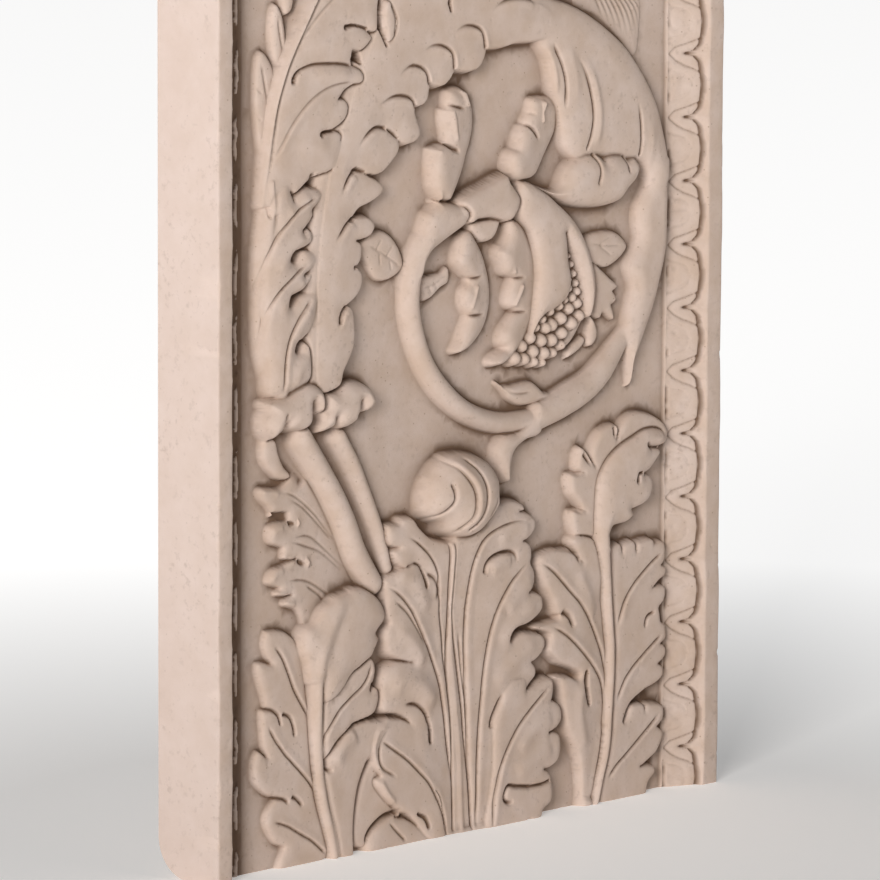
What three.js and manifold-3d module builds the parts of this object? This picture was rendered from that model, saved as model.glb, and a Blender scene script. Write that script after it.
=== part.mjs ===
// Stone relief panel: a slab with a moulded frame down both sides and a field of
// scrolling acanthus between them, all carved in one piece. The scroll and the frame
// run on above and below, so the panel is cut square at both ends.
// Millimetres, +Z up. The carved face looks towards -Y and the back is flat.
import * as THREE from 'three';
import { mergeVertices } from 'three/addons/utils/BufferGeometryUtils.js';
import Module from 'manifold-3d';

// Driving dimensions
const WIDTH = 688;
const HEIGHT = 820;
const SLAB = 50; // back to field
const RELIEF = 38; // field to the proudest carving, the bud
const FRAME_RISE = 24; // field to the front of the frame's fillet
const FILLET = 18.5; // flat outer band of the frame
const MOULDING = 36; // ogee band with the leaf-and-dart
const TOE = 3; // little step where the moulding meets the field
const QUIRK = 9; // step between the moulding and the fillet
const UNIT = 60; // leaf-and-dart pitch
const FIRST_DART = 38; // height of the lowest dart
const WORN_CORNER = 36; // rounding of the bottom left corner at the back
const WORN_LENGTH = 110; // how far along the bottom that rounding fades out

// Facets
const STEM_SIDES = 8;
const LOBE_SIDES = 6;
const LOBE_STEPS = 3;
const SINK = 4; // how far carving is rooted in the slab

const DEPTH = SLAB + RELIEF;
const BACK = DEPTH / 2;
const FIELD = BACK - SLAB;
const FRONT = FIELD - FRAME_RISE;
const LEFT = -WIDTH / 2;

const wasm = await Module();
wasm.setup();

function toSolid(geometry) {
  geometry.deleteAttribute('normal');
  geometry.deleteAttribute('uv');
  const merged = mergeVertices(geometry, 1e-4);
  return new wasm.Manifold(
    new wasm.Mesh({
      numProp: 3,
      vertProperties: new Float32Array(merged.attributes.position.array),
      triVerts: new Uint32Array(merged.index.array),
    }),
  );
}

function toGeometry(solid) {
  const mesh = solid.getMesh();
  const geometry = new THREE.BufferGeometry();
  geometry.setAttribute('position', new THREE.BufferAttribute(mesh.vertProperties, 3));
  geometry.setIndex(new THREE.BufferAttribute(mesh.triVerts, 1));
  geometry.computeVertexNormals();
  return geometry;
}

// A place on the field: across from the panel's left edge, up from its foot
const onField = ([across, up]) => new THREE.Vector3(LEFT + across, FIELD, up);

const route = (points) =>
  new THREE.CatmullRomCurve3(points.map(onField), false, 'centripetal');

// Swell of a ridge from its root (0) to its end (1)
const swell = {
  stem: () => 1,
  lobe: (t) => 0.3 + 0.7 * Math.sin(Math.PI * Math.min(1, 0.18 + 0.8 * t)) ** 0.7,
  pod: (t) => 0.25 + 0.75 * Math.sin(Math.PI * (0.08 + 0.87 * t)) ** 0.6,
};

// A rounded ridge along a curve on the field: a cylinder bent along it, half sunk
function ridge(curve, steps, shape, halfWidths, heights) {
  const out = new THREE.Vector3(0, -1, 0);
  const sides = shape === 'lobe' ? LOBE_SIDES : STEM_SIDES;
  const geometry = new THREE.CylinderGeometry(1, 1, 1, sides, steps);
  const position = geometry.attributes.position;
  for (let i = 0; i < position.count; i += 1) {
    const t = THREE.MathUtils.clamp(position.getY(i) + 0.5, 0, 1);
    const along = curve.getTangentAt(t);
    const across = along.clone().cross(out);
    const full = swell[shape](t);
    const halfWidth = full * THREE.MathUtils.lerp(halfWidths[0], halfWidths[1], t);
    const height = full * THREE.MathUtils.lerp(heights[0], heights[1], t);
    const reach = position.getZ(i);
    const rise = reach > 0 ? reach * height : reach * SINK;
    const place = curve
      .getPointAt(t)
      .addScaledVector(across, position.getX(i) * halfWidth)
      .addScaledVector(out, rise);
    position.setXYZ(i, place.x, place.y, place.z);
  }
  return toSolid(geometry);
}

const stem = (points, halfWidths, heights, steps = 12) =>
  ridge(route(points), steps, 'stem', halfWidths, heights);

const pod = (points, halfWidth, height) =>
  ridge(route(points), 6, 'pod', [halfWidth, halfWidth], [height, height]);

// A domed knob, given by its half width, half height and rise above the field
function knob(place, halfWidth, halfHeight, rise) {
  const geometry = new THREE.SphereGeometry(1, STEM_SIDES + 2, 6);
  geometry.scale(halfWidth, rise, halfHeight);
  const centre = onField(place);
  geometry.translate(centre.x, centre.y, centre.z);
  return toSolid(geometry);
}

// An acanthus leaf: a rib, and lobes that leave it and bend out to their tips
function leaf({ rib, ribWidth, ribHeight, tips, fullness, height }) {
  const curve = route(rib);
  const solids = [ridge(curve, 10, 'stem', ribWidth, ribHeight)];
  for (const [t, across, up] of tips) {
    const root = curve.getPointAt(t);
    const tip = onField([across, up]);
    const length = root.distanceTo(tip);
    const bend = root.clone().lerp(tip, 0.45);
    bend.addScaledVector(curve.getTangentAt(t), length * 0.16);
    const lobe = new THREE.QuadraticBezierCurve3(root, bend, tip);
    const halfWidth = Math.max(10, length * fullness);
    solids.push(ridge(lobe, LOBE_STEPS, 'lobe', [halfWidth, halfWidth], height));
  }
  return solids;
}

// Slab and frame in one cross-section, with an ogee from the field up to each fillet
function slab() {
  const inner = FILLET + MOULDING;
  const half = WIDTH / 2;
  const top = FRONT + QUIRK;
  const section = new THREE.Shape();
  section.moveTo(-half, BACK);
  section.lineTo(-half, FRONT);
  section.lineTo(-half + FILLET, FRONT);
  section.lineTo(-half + FILLET, top);
  section.bezierCurveTo(
    -half + FILLET + MOULDING * 0.5, top,
    -half + FILLET + MOULDING * 0.5, FIELD - TOE,
    -half + inner, FIELD - TOE,
  );
  section.lineTo(-half + inner, FIELD);
  section.lineTo(half - inner, FIELD);
  section.lineTo(half - inner, FIELD - TOE);
  section.bezierCurveTo(
    half - FILLET - MOULDING * 0.5, FIELD - TOE,
    half - FILLET - MOULDING * 0.5, top,
    half - FILLET, top,
  );
  section.lineTo(half - FILLET, FRONT);
  section.lineTo(half, FRONT);
  section.lineTo(half, BACK);
  section.closePath();
  const geometry = new THREE.ExtrudeGeometry(section, {
    depth: HEIGHT,
    bevelEnabled: false,
    curveSegments: 4,
  });
  return toSolid(geometry);
}

// Leaf-and-dart down one frame: a tongue-shaped leaf in each unit, a dart between
function leafAndDart(side) {
  const solids = [];
  const middle = WIDTH / 2 - FILLET - MOULDING * 0.5;
  for (let up = FIRST_DART - UNIT; up < HEIGHT + UNIT; up += UNIT) {
    const tongue = new THREE.SphereGeometry(1, 6, 4);
    tongue.scale(MOULDING * 0.42, 8, UNIT * 0.36);
    tongue.translate(side * (middle + 1), FIELD - 9, up + UNIT / 2);
    solids.push(toSolid(tongue));
    const dart = new THREE.ConeGeometry(6, MOULDING * 0.85, 4);
    dart.rotateZ((side * Math.PI) / 2);
    dart.translate(side * middle, FIELD - 9, up);
    solids.push(toSolid(dart));
  }
  return solids;
}

// Bottom left corner at the back, worn round: what the wear took away
function wornAway() {
  const lost = new THREE.Shape();
  lost.moveTo(SINK, -SINK);
  lost.lineTo(SINK, WORN_CORNER);
  lost.lineTo(0, WORN_CORNER);
  lost.absarc(-WORN_CORNER, WORN_CORNER, WORN_CORNER, 0, -Math.PI / 2, true);
  lost.lineTo(-WORN_CORNER, -SINK);
  lost.closePath();
  const geometry = new THREE.ExtrudeGeometry(lost, {
    depth: WORN_LENGTH * 1.6,
    bevelEnabled: false,
    curveSegments: 5,
  });
  const [x, y, z] = [0, 1, 2].map((axis) => new THREE.Vector3().setComponent(axis, 1));
  geometry.applyMatrix4(new THREE.Matrix4().makeBasis(y, z, x));
  geometry.translate(-WORN_CORNER, 0, 0);
  geometry.rotateZ(Math.atan2(WORN_CORNER, WORN_LENGTH));
  geometry.translate(LEFT, BACK, 0);
  return toSolid(geometry);
}

// The scroll: one stem that leaves the sheath, rings round and ends in two cups
const scroll = [
  stem([[612, 610], [604, 520], [576, 440], [520, 400], [450, 380]], [17, 15], [17, 16]),
  stem(
    [[450, 380], [395, 375], [340, 392], [296, 428], [269, 485], [276, 535], [300, 566], [334, 572]],
    [13, 15], [13, 18], 18,
  ),
  stem([[300, 578], [345, 586], [384, 586], [412, 578]], [13, 19], [14, 20], 6),
  stem([[405, 584], [455, 566], [492, 532], [512, 488], [506, 462]], [15, 9], [20, 14], 8),
  stem([[455, 378], [425, 364], [410, 345], [408, 322]], [12, 6], [13, 8], 6),
];

// The outer sheath: over the top and down the right side to a hanging point
const sheath = [
  stem([[210, 690], [290, 740], [390, 750], [480, 735]], [34, 26], [22, 24], 8),
  stem([[455, 738], [540, 712], [592, 655], [612, 590]], [26, 18], [24, 18], 8),
  stem([[612, 590], [610, 520], [592, 455], [570, 398]], [20, 5], [20, 8], 8),
  stem([[468, 730], [505, 690], [520, 650], [512, 612]], [16, 12], [14, 10], 6),
];

const pods = [
  pod([[310, 580], [318, 640], [326, 692]], 32, 27),
  pod([[405, 592], [428, 630], [450, 682]], 31, 27),
  pod([[412, 596], [470, 584], [530, 590], [584, 606]], 24, 24),
  pod([[334, 560], [352, 520], [350, 480], [318, 446]], 24, 24),
  pod([[396, 566], [414, 520], [412, 470], [370, 434]], 32, 26),
  pod([[470, 545], [478, 500], [462, 460], [404, 428]], 24, 22),
];

const smallLeaves = [
  pod([[262, 532], [240, 545], [208, 552]], 22, 9),
  pod([[278, 508], [298, 512], [322, 522]], 10, 8),
  pod([[510, 530], [540, 524], [572, 526]], 17, 9),
  pod([[512, 508], [534, 490], [552, 464]], 21, 12),
  pod([[510, 462], [514, 450], [512, 438]], 14, 10),
  pod([[500, 444], [486, 436], [476, 430]], 8, 8),
  pod([[448, 396], [420, 404], [386, 414]], 11, 12),
];

// Two bound stalks, each with a collar of knobs where its leaves begin
const stalks = [
  stem([[128, 398], [172, 322], [218, 246]], [15, 12], [17, 14], 3),
  stem([[175, 398], [212, 330], [246, 256]], [12, 7], [13, 8], 3),
  knob([80, 409], 22, 19, 22),
  knob([116, 417], 26, 22, 26),
  knob([144, 424], 12, 16, 22),
  knob([150, 406], 18, 14, 22),
  knob([182, 413], 24, 20, 24),
  knob([208, 419], 14, 13, 20),
];

const bud = [knob([332, 316], 57, 38, RELIEF)];

const leaves = [
  leaf({
    rib: [[74, 606], [88, 690], [120, 756], [158, 800], [190, 828]],
    ribWidth: [8, 6],
    ribHeight: [14, 14],
    tips: [
      [0.12, 150, 624], [0.2, 168, 652], [0.32, 176, 678], [0.44, 194, 708],
      [0.56, 206, 742], [0.72, 224, 770], [0.4, 66, 728], [0.52, 84, 772], [0.7, 108, 806],
      [0.24, 64, 664],
    ],
    fullness: 0.2,
    height: [13, 15],
  }),
  leaf({
    rib: [[92, 430], [84, 490], [94, 548], [122, 596]],
    ribWidth: [24, 12],
    ribHeight: [20, 18],
    tips: [
      [0.1, 134, 462], [0.3, 140, 508], [0.5, 138, 546], [0.68, 136, 578], [0.8, 146, 604],
      [0.74, 94, 614],
    ],
    fullness: 0.24,
    height: [16, 18],
  }),
  leaf({
    rib: [[158, 432], [164, 510], [186, 590], [230, 660], [300, 716], [380, 740]],
    ribWidth: [20, 26],
    ribHeight: [18, 22],
    tips: [
      [0.08, 188, 488], [0.16, 196, 524], [0.26, 212, 570], [0.36, 226, 604], [0.46, 246, 638],
      [0.54, 272, 652], [0.62, 284, 688], [0.72, 318, 704], [0.82, 358, 722], [0.97, 458, 736],
    ],
    fullness: 0.3,
    height: [20, 18],
  }),
  leaf({
    rib: [[216, 236], [180, 262], [130, 310], [92, 366]],
    ribWidth: [10, 5],
    ribHeight: [10, 8],
    tips: [
      [0.3, 102, 246], [0.45, 86, 270], [0.6, 88, 308], [0.75, 78, 340], [0.95, 82, 380],
    ],
    fullness: 0.2,
    height: [9, 9],
  }),
  leaf({
    rib: [[164, 0], [150, 54], [142, 110], [142, 186]],
    ribWidth: [7, 12],
    ribHeight: [16, 24],
    tips: [
      [0.1, 84, 34], [0.28, 70, 96], [0.5, 76, 150], [0.72, 84, 208], [0.36, 214, 150],
      [0.26, 204, 112],
    ],
    fullness: 0.2,
    height: [12, 13],
  }),
  leaf({
    rib: [[196, -4], [200, 40], [214, 84], [226, 108]],
    ribWidth: [9, 12],
    ribHeight: [10, 14],
    tips: [[0.2, 240, 34], [0.45, 286, 26], [0.7, 290, 92], [0.95, 262, 112]],
    fullness: 0.24,
    height: [12, 14],
  }),
  leaf({
    rib: [[338, -4], [332, 80], [330, 170], [328, 276]],
    ribWidth: [14, 14],
    ribHeight: [14, 12],
    tips: [
      [0.16, 276, 110], [0.34, 236, 170], [0.5, 238, 236], [0.62, 250, 290],
      [0.3, 436, 142], [0.4, 450, 170], [0.5, 446, 208], [0.6, 432, 246], [0.68, 432, 286],
    ],
    fullness: 0.21,
    height: [14, 17],
  }),
  leaf({
    rib: [[372, -4], [388, 40], [420, 88], [452, 118]],
    ribWidth: [12, 8],
    ribHeight: [14, 17],
    tips: [[0.05, 456, 20], [0.3, 472, 58], [0.6, 470, 92], [0.9, 462, 122]],
    fullness: 0.28,
    height: [17, 17],
  }),
  leaf({
    rib: [[526, -4], [544, 70], [548, 160], [534, 250]],
    ribWidth: [8, 11],
    ribHeight: [14, 20],
    tips: [
      [0.14, 500, 96], [0.3, 470, 140], [0.45, 452, 190], [0.62, 456, 240],
      [0.06, 600, 26], [0.2, 616, 76], [0.42, 618, 136], [0.6, 616, 190], [0.74, 612, 236],
      [0.66, 560, 240],
    ],
    fullness: 0.19,
    height: [12, 12],
  }),
].flat();

// Curled leaf heads: hoods that roll forward over the ribs below them
const heads = [
  knob([184, 208], 48, 38, 30),
  pod([[136, 150], [138, 190], [158, 226], [190, 240]], 15, 26),
  knob([566, 308], 46, 44, 32),
  pod([[532, 240], [528, 290], [548, 336], [600, 352]], 16, 24),
  pod([[494, 256], [492, 300], [508, 338], [556, 360]], 11, 14),
];

const carving = [
  ...scroll, ...sheath, ...pods, ...smallLeaves, ...stalks, ...bud, ...leaves, ...heads,
  ...leafAndDart(-1), ...leafAndDart(1),
];

const block = new THREE.BoxGeometry(WIDTH, DEPTH, HEIGHT);
block.translate(0, 0, HEIGHT / 2);

const panelSolid = carving
  .reduce((whole, piece) => whole.add(piece), slab())
  .intersect(toSolid(block))
  .subtract(wornAway());

const panel = new THREE.Mesh(
  toGeometry(panelSolid),
  new THREE.MeshStandardMaterial({ color: 0xc9b09d, roughness: 0.9, metalness: 0 }),
);
panel.name = 'relief_panel';

const group = new THREE.Group();
group.add(panel);

export default group;
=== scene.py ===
# %% [markdown]
# # A carved stone relief panel
# The real object is one block of pale cast stone: a flat slab, a plain fillet and a leaf-and-dart
# moulding down both sides, and between them a field of acanthus leaves, stalks, pods and one big
# scroll. It has no loose parts, so the whole of it is one closed mesh. The relief could be built leaf
# by leaf from curves, but a carver works from one face and never far under it, so here the face
# is a fine grid whose points are pushed out of the slab, leaf after leaf, back to front.

import math

import bpy
import numpy as np
from mathutils import Matrix, Vector


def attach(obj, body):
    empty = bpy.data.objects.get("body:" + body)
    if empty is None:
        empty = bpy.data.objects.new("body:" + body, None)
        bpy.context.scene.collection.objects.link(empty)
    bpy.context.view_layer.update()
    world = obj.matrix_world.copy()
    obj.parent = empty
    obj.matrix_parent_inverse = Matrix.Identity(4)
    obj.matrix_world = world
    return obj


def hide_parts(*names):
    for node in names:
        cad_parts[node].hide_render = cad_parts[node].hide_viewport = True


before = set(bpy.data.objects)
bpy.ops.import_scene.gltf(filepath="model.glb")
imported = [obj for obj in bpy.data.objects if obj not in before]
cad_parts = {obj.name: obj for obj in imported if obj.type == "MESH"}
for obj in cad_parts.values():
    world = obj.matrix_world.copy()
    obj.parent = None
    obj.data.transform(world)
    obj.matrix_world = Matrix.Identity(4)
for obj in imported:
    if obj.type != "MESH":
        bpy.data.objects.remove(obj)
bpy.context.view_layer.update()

# %% [markdown]
# The sizes below are in millimetres and match the CAD model. x runs from the left side to the right,
# z from the bottom to the top, and the relief is how far a point stands in front of the field.
# A second grid marks the drilled eyes, where the deepest shade is painted into the colour.

# %% Sizes and the grid
WIDTH = 688.0
HEIGHT = 820.0
FILLET = 18.5
MOULDING = 36.0
FRAME_RISE = 24.0
FIELD_Y = -6.0
BACK_Y = 44.0
STEP = 1.0

xs = np.linspace(0, WIDTH, int(WIDTH / STEP) + 1)
zs = np.linspace(0, HEIGHT, int(HEIGHT / STEP) + 1)
relief = np.zeros((len(zs), len(xs)))
eyes = np.zeros_like(relief)
chance = np.random.default_rng(7)
print("relief grid", relief.shape)

# %% [markdown]
# A carver has few tools: a chisel that leaves a rounded lobe, a gouge that runs a round stem, a point
# that cuts a crease, and a drill for the eyes between two lobes. Each tool is one function. A smooth
# line through a few points gives the outline, with a corner where a point is given twice, and the
# distance of each grid point to that line gives the shape.

# %% Lines and distances
def smooth_line(points, closed=False, fine=5):
    """A smooth line through all the points, with a few steps from each to the next."""
    p = np.array(points, float)
    if closed:
        p = np.vstack([p[-1], p, p[0], p[1]])
    else:
        p = np.vstack([2 * p[0] - p[1], p, 2 * p[-1] - p[-2]])
    t = np.linspace(0, 1, fine, endpoint=False)[:, None]
    runs = []
    for a, b, c, d in zip(p[:-3], p[1:-2], p[2:-1], p[3:]):
        square = (2 * a - 5 * b + 4 * c - d) * t**2
        cube = (3 * b - a - 3 * c + d) * t**3
        runs.append(0.5 * (2 * b + (c - a) * t + square + cube))
    if not closed:
        runs.append(p[-2:-1])
    return np.vstack(runs)


def measure(line, reach, closed=False):
    """The grid near a line: a window, x and z, the distance, the way along and what is inside."""
    low = np.floor((line.min(0) - reach) / STEP).astype(int).clip(0)
    high = np.ceil((line.max(0) + reach) / STEP).astype(int).clip(1) + 1
    window = (slice(low[1], high[1]), slice(low[0], high[0]))
    px, pz = np.meshgrid(xs[window[1]], zs[window[0]])
    best = np.full(px.shape, 1e9)
    along = np.zeros(px.shape)
    inside = np.zeros(px.shape, bool)
    ends = np.vstack([line, line[:1]]) if closed else line
    done = 0.0
    for a, b in zip(ends[:-1], ends[1:]):
        d = b - a
        size = max(float(d @ d), 1e-9)
        s = np.clip(((px - a[0]) * d[0] + (pz - a[1]) * d[1]) / size, 0, 1)
        gap = (px - a[0] - s * d[0])**2 + (pz - a[1] - s * d[1])**2
        closer = gap < best
        best = np.where(closer, gap, best)
        along = np.where(closer, done + s * size**0.5, along)
        done += size**0.5
        if closed and a[1] != b[1]:
            crossed = (a[1] > pz) != (b[1] > pz)
            inside ^= crossed & (px < a[0] + d[0] * (pz - a[1]) / d[1])
    return window, px, pz, np.sqrt(best), along / done, inside


def spread(values, along):
    """Values given at even steps along a line, read at every grid point near it."""
    return np.interp(along, np.linspace(0, 1, len(values)), values)


# %% The carver's tools
def lobe(outline, edge, crown, soft=12, lean=0, blend=2.0, seam=2.5):
    """A rounded lobe: its rim stands at edge, it swells to crown over the width soft, and it may lean."""
    line = smooth_line(outline, closed=True)
    window, px, _, away, _, inside = measure(line, 8, closed=True)
    lift = lean * (px - line.mean(0)[0])
    swell = np.sqrt(1 - (1 - np.clip(away / soft, 0, 1))**2)
    top = edge + (crown - edge) * swell + lift
    ground = relief[window]
    lower = (ground > 0.5) & (ground < edge + lift + 1) & ~inside
    ground = ground - seam * np.exp(-(away / 1.6)**2) * lower
    meet = np.clip(blend - np.abs(top - ground), 0, None)**2 / (4 * blend)
    relief[window] = np.where(inside, np.maximum(ground, top) + meet, ground)


def stem(points, widths, heights, base=0.0, root=2.0, blend=1.0):
    """A round stem: half its width and its height are given at even steps along it."""
    line = smooth_line(points)
    window, _, _, away, along, _ = measure(line, max(widths) + 6)
    half = spread(widths, along)
    high = spread(heights, along)
    s = np.clip(away / half, 0, 1)
    top = base + (high - base) * (1 - s**2)**(1 / root)
    ground = relief[window]
    beside = (away >= half) & (ground > 0.5) & (ground < high)
    ground = ground - np.exp(-((away - half) / 2.2)**2) * beside
    meet = np.clip(blend - np.abs(top - ground), 0, None)**2 / (4 * blend)
    relief[window] = np.where(away < half, np.maximum(ground, top) + meet, ground)


def crease(points, width, depth, ends=(0.15, 0.15)):
    """A groove, or a raised vein where depth is negative, that fades out at its ends."""
    line = smooth_line(points)
    window, _, _, away, along, _ = measure(line, width * 3)
    fade = np.clip(along / ends[0], 0, 1) * np.clip((1 - along) / ends[1], 0, 1)
    carved = np.clip(relief[window] / 5, 0, 1)
    relief[window] -= depth * fade * carved * np.exp(-(away / width)**2)


def fold(points, side, ends=(0.1, 0.1)):
    """A thin cut whose neighbour on one side swells up beside it, as where one flute laps the next."""
    crease(points, 1.2, 3.2, ends)
    crease([(x + side, z) for x, z in points], 4.5, -1.1, ends)


def drill(points, widths, depth):
    """A drilled eye that runs out shallower along the edge of a lobe."""
    line = smooth_line(points)
    window, _, _, away, along, _ = measure(line, max(widths) + 2)
    s = away / spread(widths, along)
    relief[window] -= depth * (1 - 0.55 * along) * np.sqrt(np.clip(1 - s**2, 0, 1))
    # The eye is also marked on the second grid, for the shade painted into it.
    eyes[window] = np.maximum(eyes[window], np.clip(3 * (1.15 - s), 0, 1) * (1 - 0.4 * along))


def facet(outline, crown, ridge, fall):
    """A flat cut face that falls away on the left of its ridge, seen along the ridge."""
    window, px, pz, away, _, inside = measure(np.array(outline, float), 6, closed=True)
    (x0, z0), (x1, z1) = ridge
    side = ((x1 - x0) * (pz - z0) - (z1 - z0) * (px - x0)) / math.hypot(x1 - x0, z1 - z0)
    top = np.minimum(crown - fall * np.clip(side, 0, None), 3 + 5 * away)
    relief[window] = np.where(inside, np.maximum(relief[window], top), relief[window])


def dome(x, z, radius, rise, base):
    """A berry whose top stands at rise and whose round edge stands at base."""
    window, px, pz, _, _, _ = measure(np.array([(x, z), (x + 0.1, z)]), radius)
    left = 1 - ((px - x) / radius)**2 - ((pz - z) / radius)**2
    top = base + (rise - base) * np.clip(left, 0, 1)**0.5
    relief[window] = np.where(left > 0, np.maximum(relief[window], top), relief[window])


def blur(a, sigma):
    """A soft average whose spread is sigma millimetres."""
    reach = int(np.ceil(3 * sigma / STEP))
    weights = np.exp(-0.5 * (np.arange(-reach, reach + 1) * STEP / sigma)**2)
    weights /= weights.sum()
    for axis in (0, 1):
        b = np.pad(a, [(reach, reach) if k == axis else (0, 0) for k in (0, 1)], mode="edge")
        n = a.shape[axis]
        a = sum(w * np.take(b, np.arange(i, i + n), axis=axis) for i, w in enumerate(weights))
    return a


def unevenness(size):
    """A soft random field of about that size in millimetres, with a spread of one."""
    coarse = chance.standard_normal((int(HEIGHT / size) + 4, int(WIDTH / size) + 4))
    rows = np.interp(zs, np.arange(coarse.shape[0]) * size, np.arange(coarse.shape[0]))
    columns = np.interp(xs, np.arange(coarse.shape[1]) * size, np.arange(coarse.shape[1]))
    j = rows.astype(int)
    i = columns.astype(int)
    v = (rows - j)[:, None]
    u = (columns - i)[None, :]
    v = v * v * (3 - 2 * v)
    u = u * u * (3 - 2 * u)
    low = coarse[j][:, i] * (1 - u) + coarse[j][:, i + 1] * u
    high = coarse[j + 1][:, i] * (1 - u) + coarse[j + 1][:, i + 1] * u
    return low * (1 - v) + high * v


print("tools ready")

# %% [markdown]
# Both sides carry the same border: a flat fillet at the edge, then a leaf-and-dart moulding that falls
# to the field. The leaves repeat every 60 mm, so the height above the nearest dart says where a point
# lies on its leaf, and one formula carves them all. The left moulding is seen past its own fillet, so
# it falls faster, to a groove with the tips of the leaves as thin strips in it.

# %% Border
UNIT = 60.0
FIRST_DART = 38.0
LEFT_SHIFT = 6.0
RIGHT_TRIM = 2.1


def border():
    px, pz = np.meshgrid(xs, zs)
    left = px < WIDTH / 2
    # v runs down the moulding from the fillet, and w runs up from the nearest dart.
    v = np.minimum(px, WIDTH - px - RIGHT_TRIM) - FILLET
    w = (pz - FIRST_DART + np.where(left, LEFT_SHIFT, 0) + UNIT / 2) % UNIT - UNIT / 2
    near_dart = np.abs(w)
    cyma = np.where(left, 1.5 + 9 * np.clip(1 - v / MOULDING, 0, 1)**2, 18.4 - 0.45 * v)
    # The fillet ends in scallops, each with a hollow under it that is deepest at a dart.
    scallop = np.interp(near_dart, [0, 1, 3, 6, 9, 13, 18, 30], [16, 13.5, 9.5, 6.5, 4.6, 4.0, 3.4, 2.4])
    foot = np.where(left, 8, 16.6 - 0.45 * scallop)
    hollow = FRAME_RISE + (foot - FRAME_RISE) * np.clip(v / scallop, 0, 1)
    # A dart is wide at the top and comes to a point, with a thin cut round it.
    above = np.interp(v, [5.7, 16.2, 27.9, 33.6], [13.3, 9.7, 6.1, 0])
    below = np.interp(v, [5.1, 10.4, 18.6, 26.7, 33.6], [17.6, 14.6, 11.5, 6.7, 0])
    dart = near_dart - np.where(w > 0, above, below)
    rise = cyma - 0.7 * (dart < 0)
    rise -= 1.8 * np.exp(-(dart / 0.9)**2) * (v < 34)
    # The leaf between two darts has a rounded inner panel, cut round and worn rough.
    egg = UNIT / 2 - near_dart - np.interp(v, [12.7, 13.2, 14.5, 17, 22, 29, 35],
                                           [0, 4, 6.5, 10, 12.3, 13.5, 17])
    egg = np.where(v < 12.7, np.hypot(12.7 - v, UNIT / 2 - near_dart), egg)
    rise -= 0.9 * np.exp(-(egg / 1.4)**2) * (v < 35)
    rise -= (0.3 + 0.5 * unevenness(5)) * np.clip(-egg / 4, 0, 1)
    rise -= 1.6 * np.clip(-egg / 2, 0, 1) * (v > MOULDING - 4) * np.clip(0.5 + unevenness(9), 0, 1)
    rise = np.where(v > MOULDING - 1.5, 2.8, rise)
    rise = np.where(v < scallop, hollow, rise)
    rise -= 2.6 * np.exp(-((v - scallop) / 0.9)**2)
    rise -= 4 * np.exp(-(near_dart / 1.6)**2) * np.clip(1 - np.abs(v - 15) / 7, 0, 1)
    # The left groove, with the leaf tips as uneven strips.
    lip = MOULDING - 7 + 0.8 * unevenness(9)
    sliver = np.clip((near_dart - 5) / 12, 0, 1) + 0.5 * np.clip(unevenness(4), 0, 1)
    strip = (v > lip - 3.4 * sliver) & (v < lip)
    rise = np.where(left & (v > MOULDING - 14), 0.3 + 2.2 * np.sqrt(sliver) * strip, rise)
    relief[:] = np.where(v < 0, FRAME_RISE, np.where(v < MOULDING + 0.5, rise, 0))


border()
print("border carved")

# %% [markdown]
# The carving is done from the back of the design to the front, so that a leaf in front simply covers
# what lies behind it. Coordinates are millimetres from the lower left corner of the block. First
# comes the great leaf that climbs at the left, bends over the top and wraps the scroll.

# %% Feathering at the top
def feathering():
    lobe([(498, 752), (505, 785), (560, 790), (588, 768), (592, 725), (584, 700), (560, 720), (530, 742)],
         0.3, 3.0, 22)
    for k in range(13):
        x = 498 + 7 * k
        crease([(x, 790 - 1.5 * k), (x + 18, 772 - 1.4 * k), (x + 38, 744), (x + 50, 716)],
               1.1, 3.2, (0.1, 0.4))


feathering()
print("feathering carved")

# %% Sheath of the scroll
def sheath():
    lobe([(425, 766), (462, 760), (502, 747), (543, 724), (574, 699), (604, 660), (618, 627), (625, 596),
          (622, 580), (600, 580), (590, 600), (560, 604), (520, 610), (495, 610), (480, 622), (474, 640),
          (466, 665), (460, 680), (454, 706), (442, 720), (430, 735)], 8, 16, 26)
    crease([(446, 722), (457, 702), (461, 682), (460, 668)], 3.5, -3, (0.2, 0.1))
    crease([(456, 722), (468, 702), (474, 682), (475, 658)], 1.5, 4, (0.2, 0.2))
    crease([(488, 708), (500, 690), (508, 670), (512, 650), (510, 635), (504, 617)], 1.4, 3.5, (0.4, 0.05))
    crease([(498, 706), (510, 685), (517, 665), (520, 645), (515, 620)], 4, -2, (0.3, 0.1))
    crease([(575, 658), (580, 635), (581, 606)], 1.5, 4, (0.4, 0.05))
    crease([(476, 716), (486, 690), (488, 665)], 5, -1.2)
    crease([(596, 640), (594, 600), (588, 560), (585, 520)], 5, -1.5)


sheath()
print("sheath carved")

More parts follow.
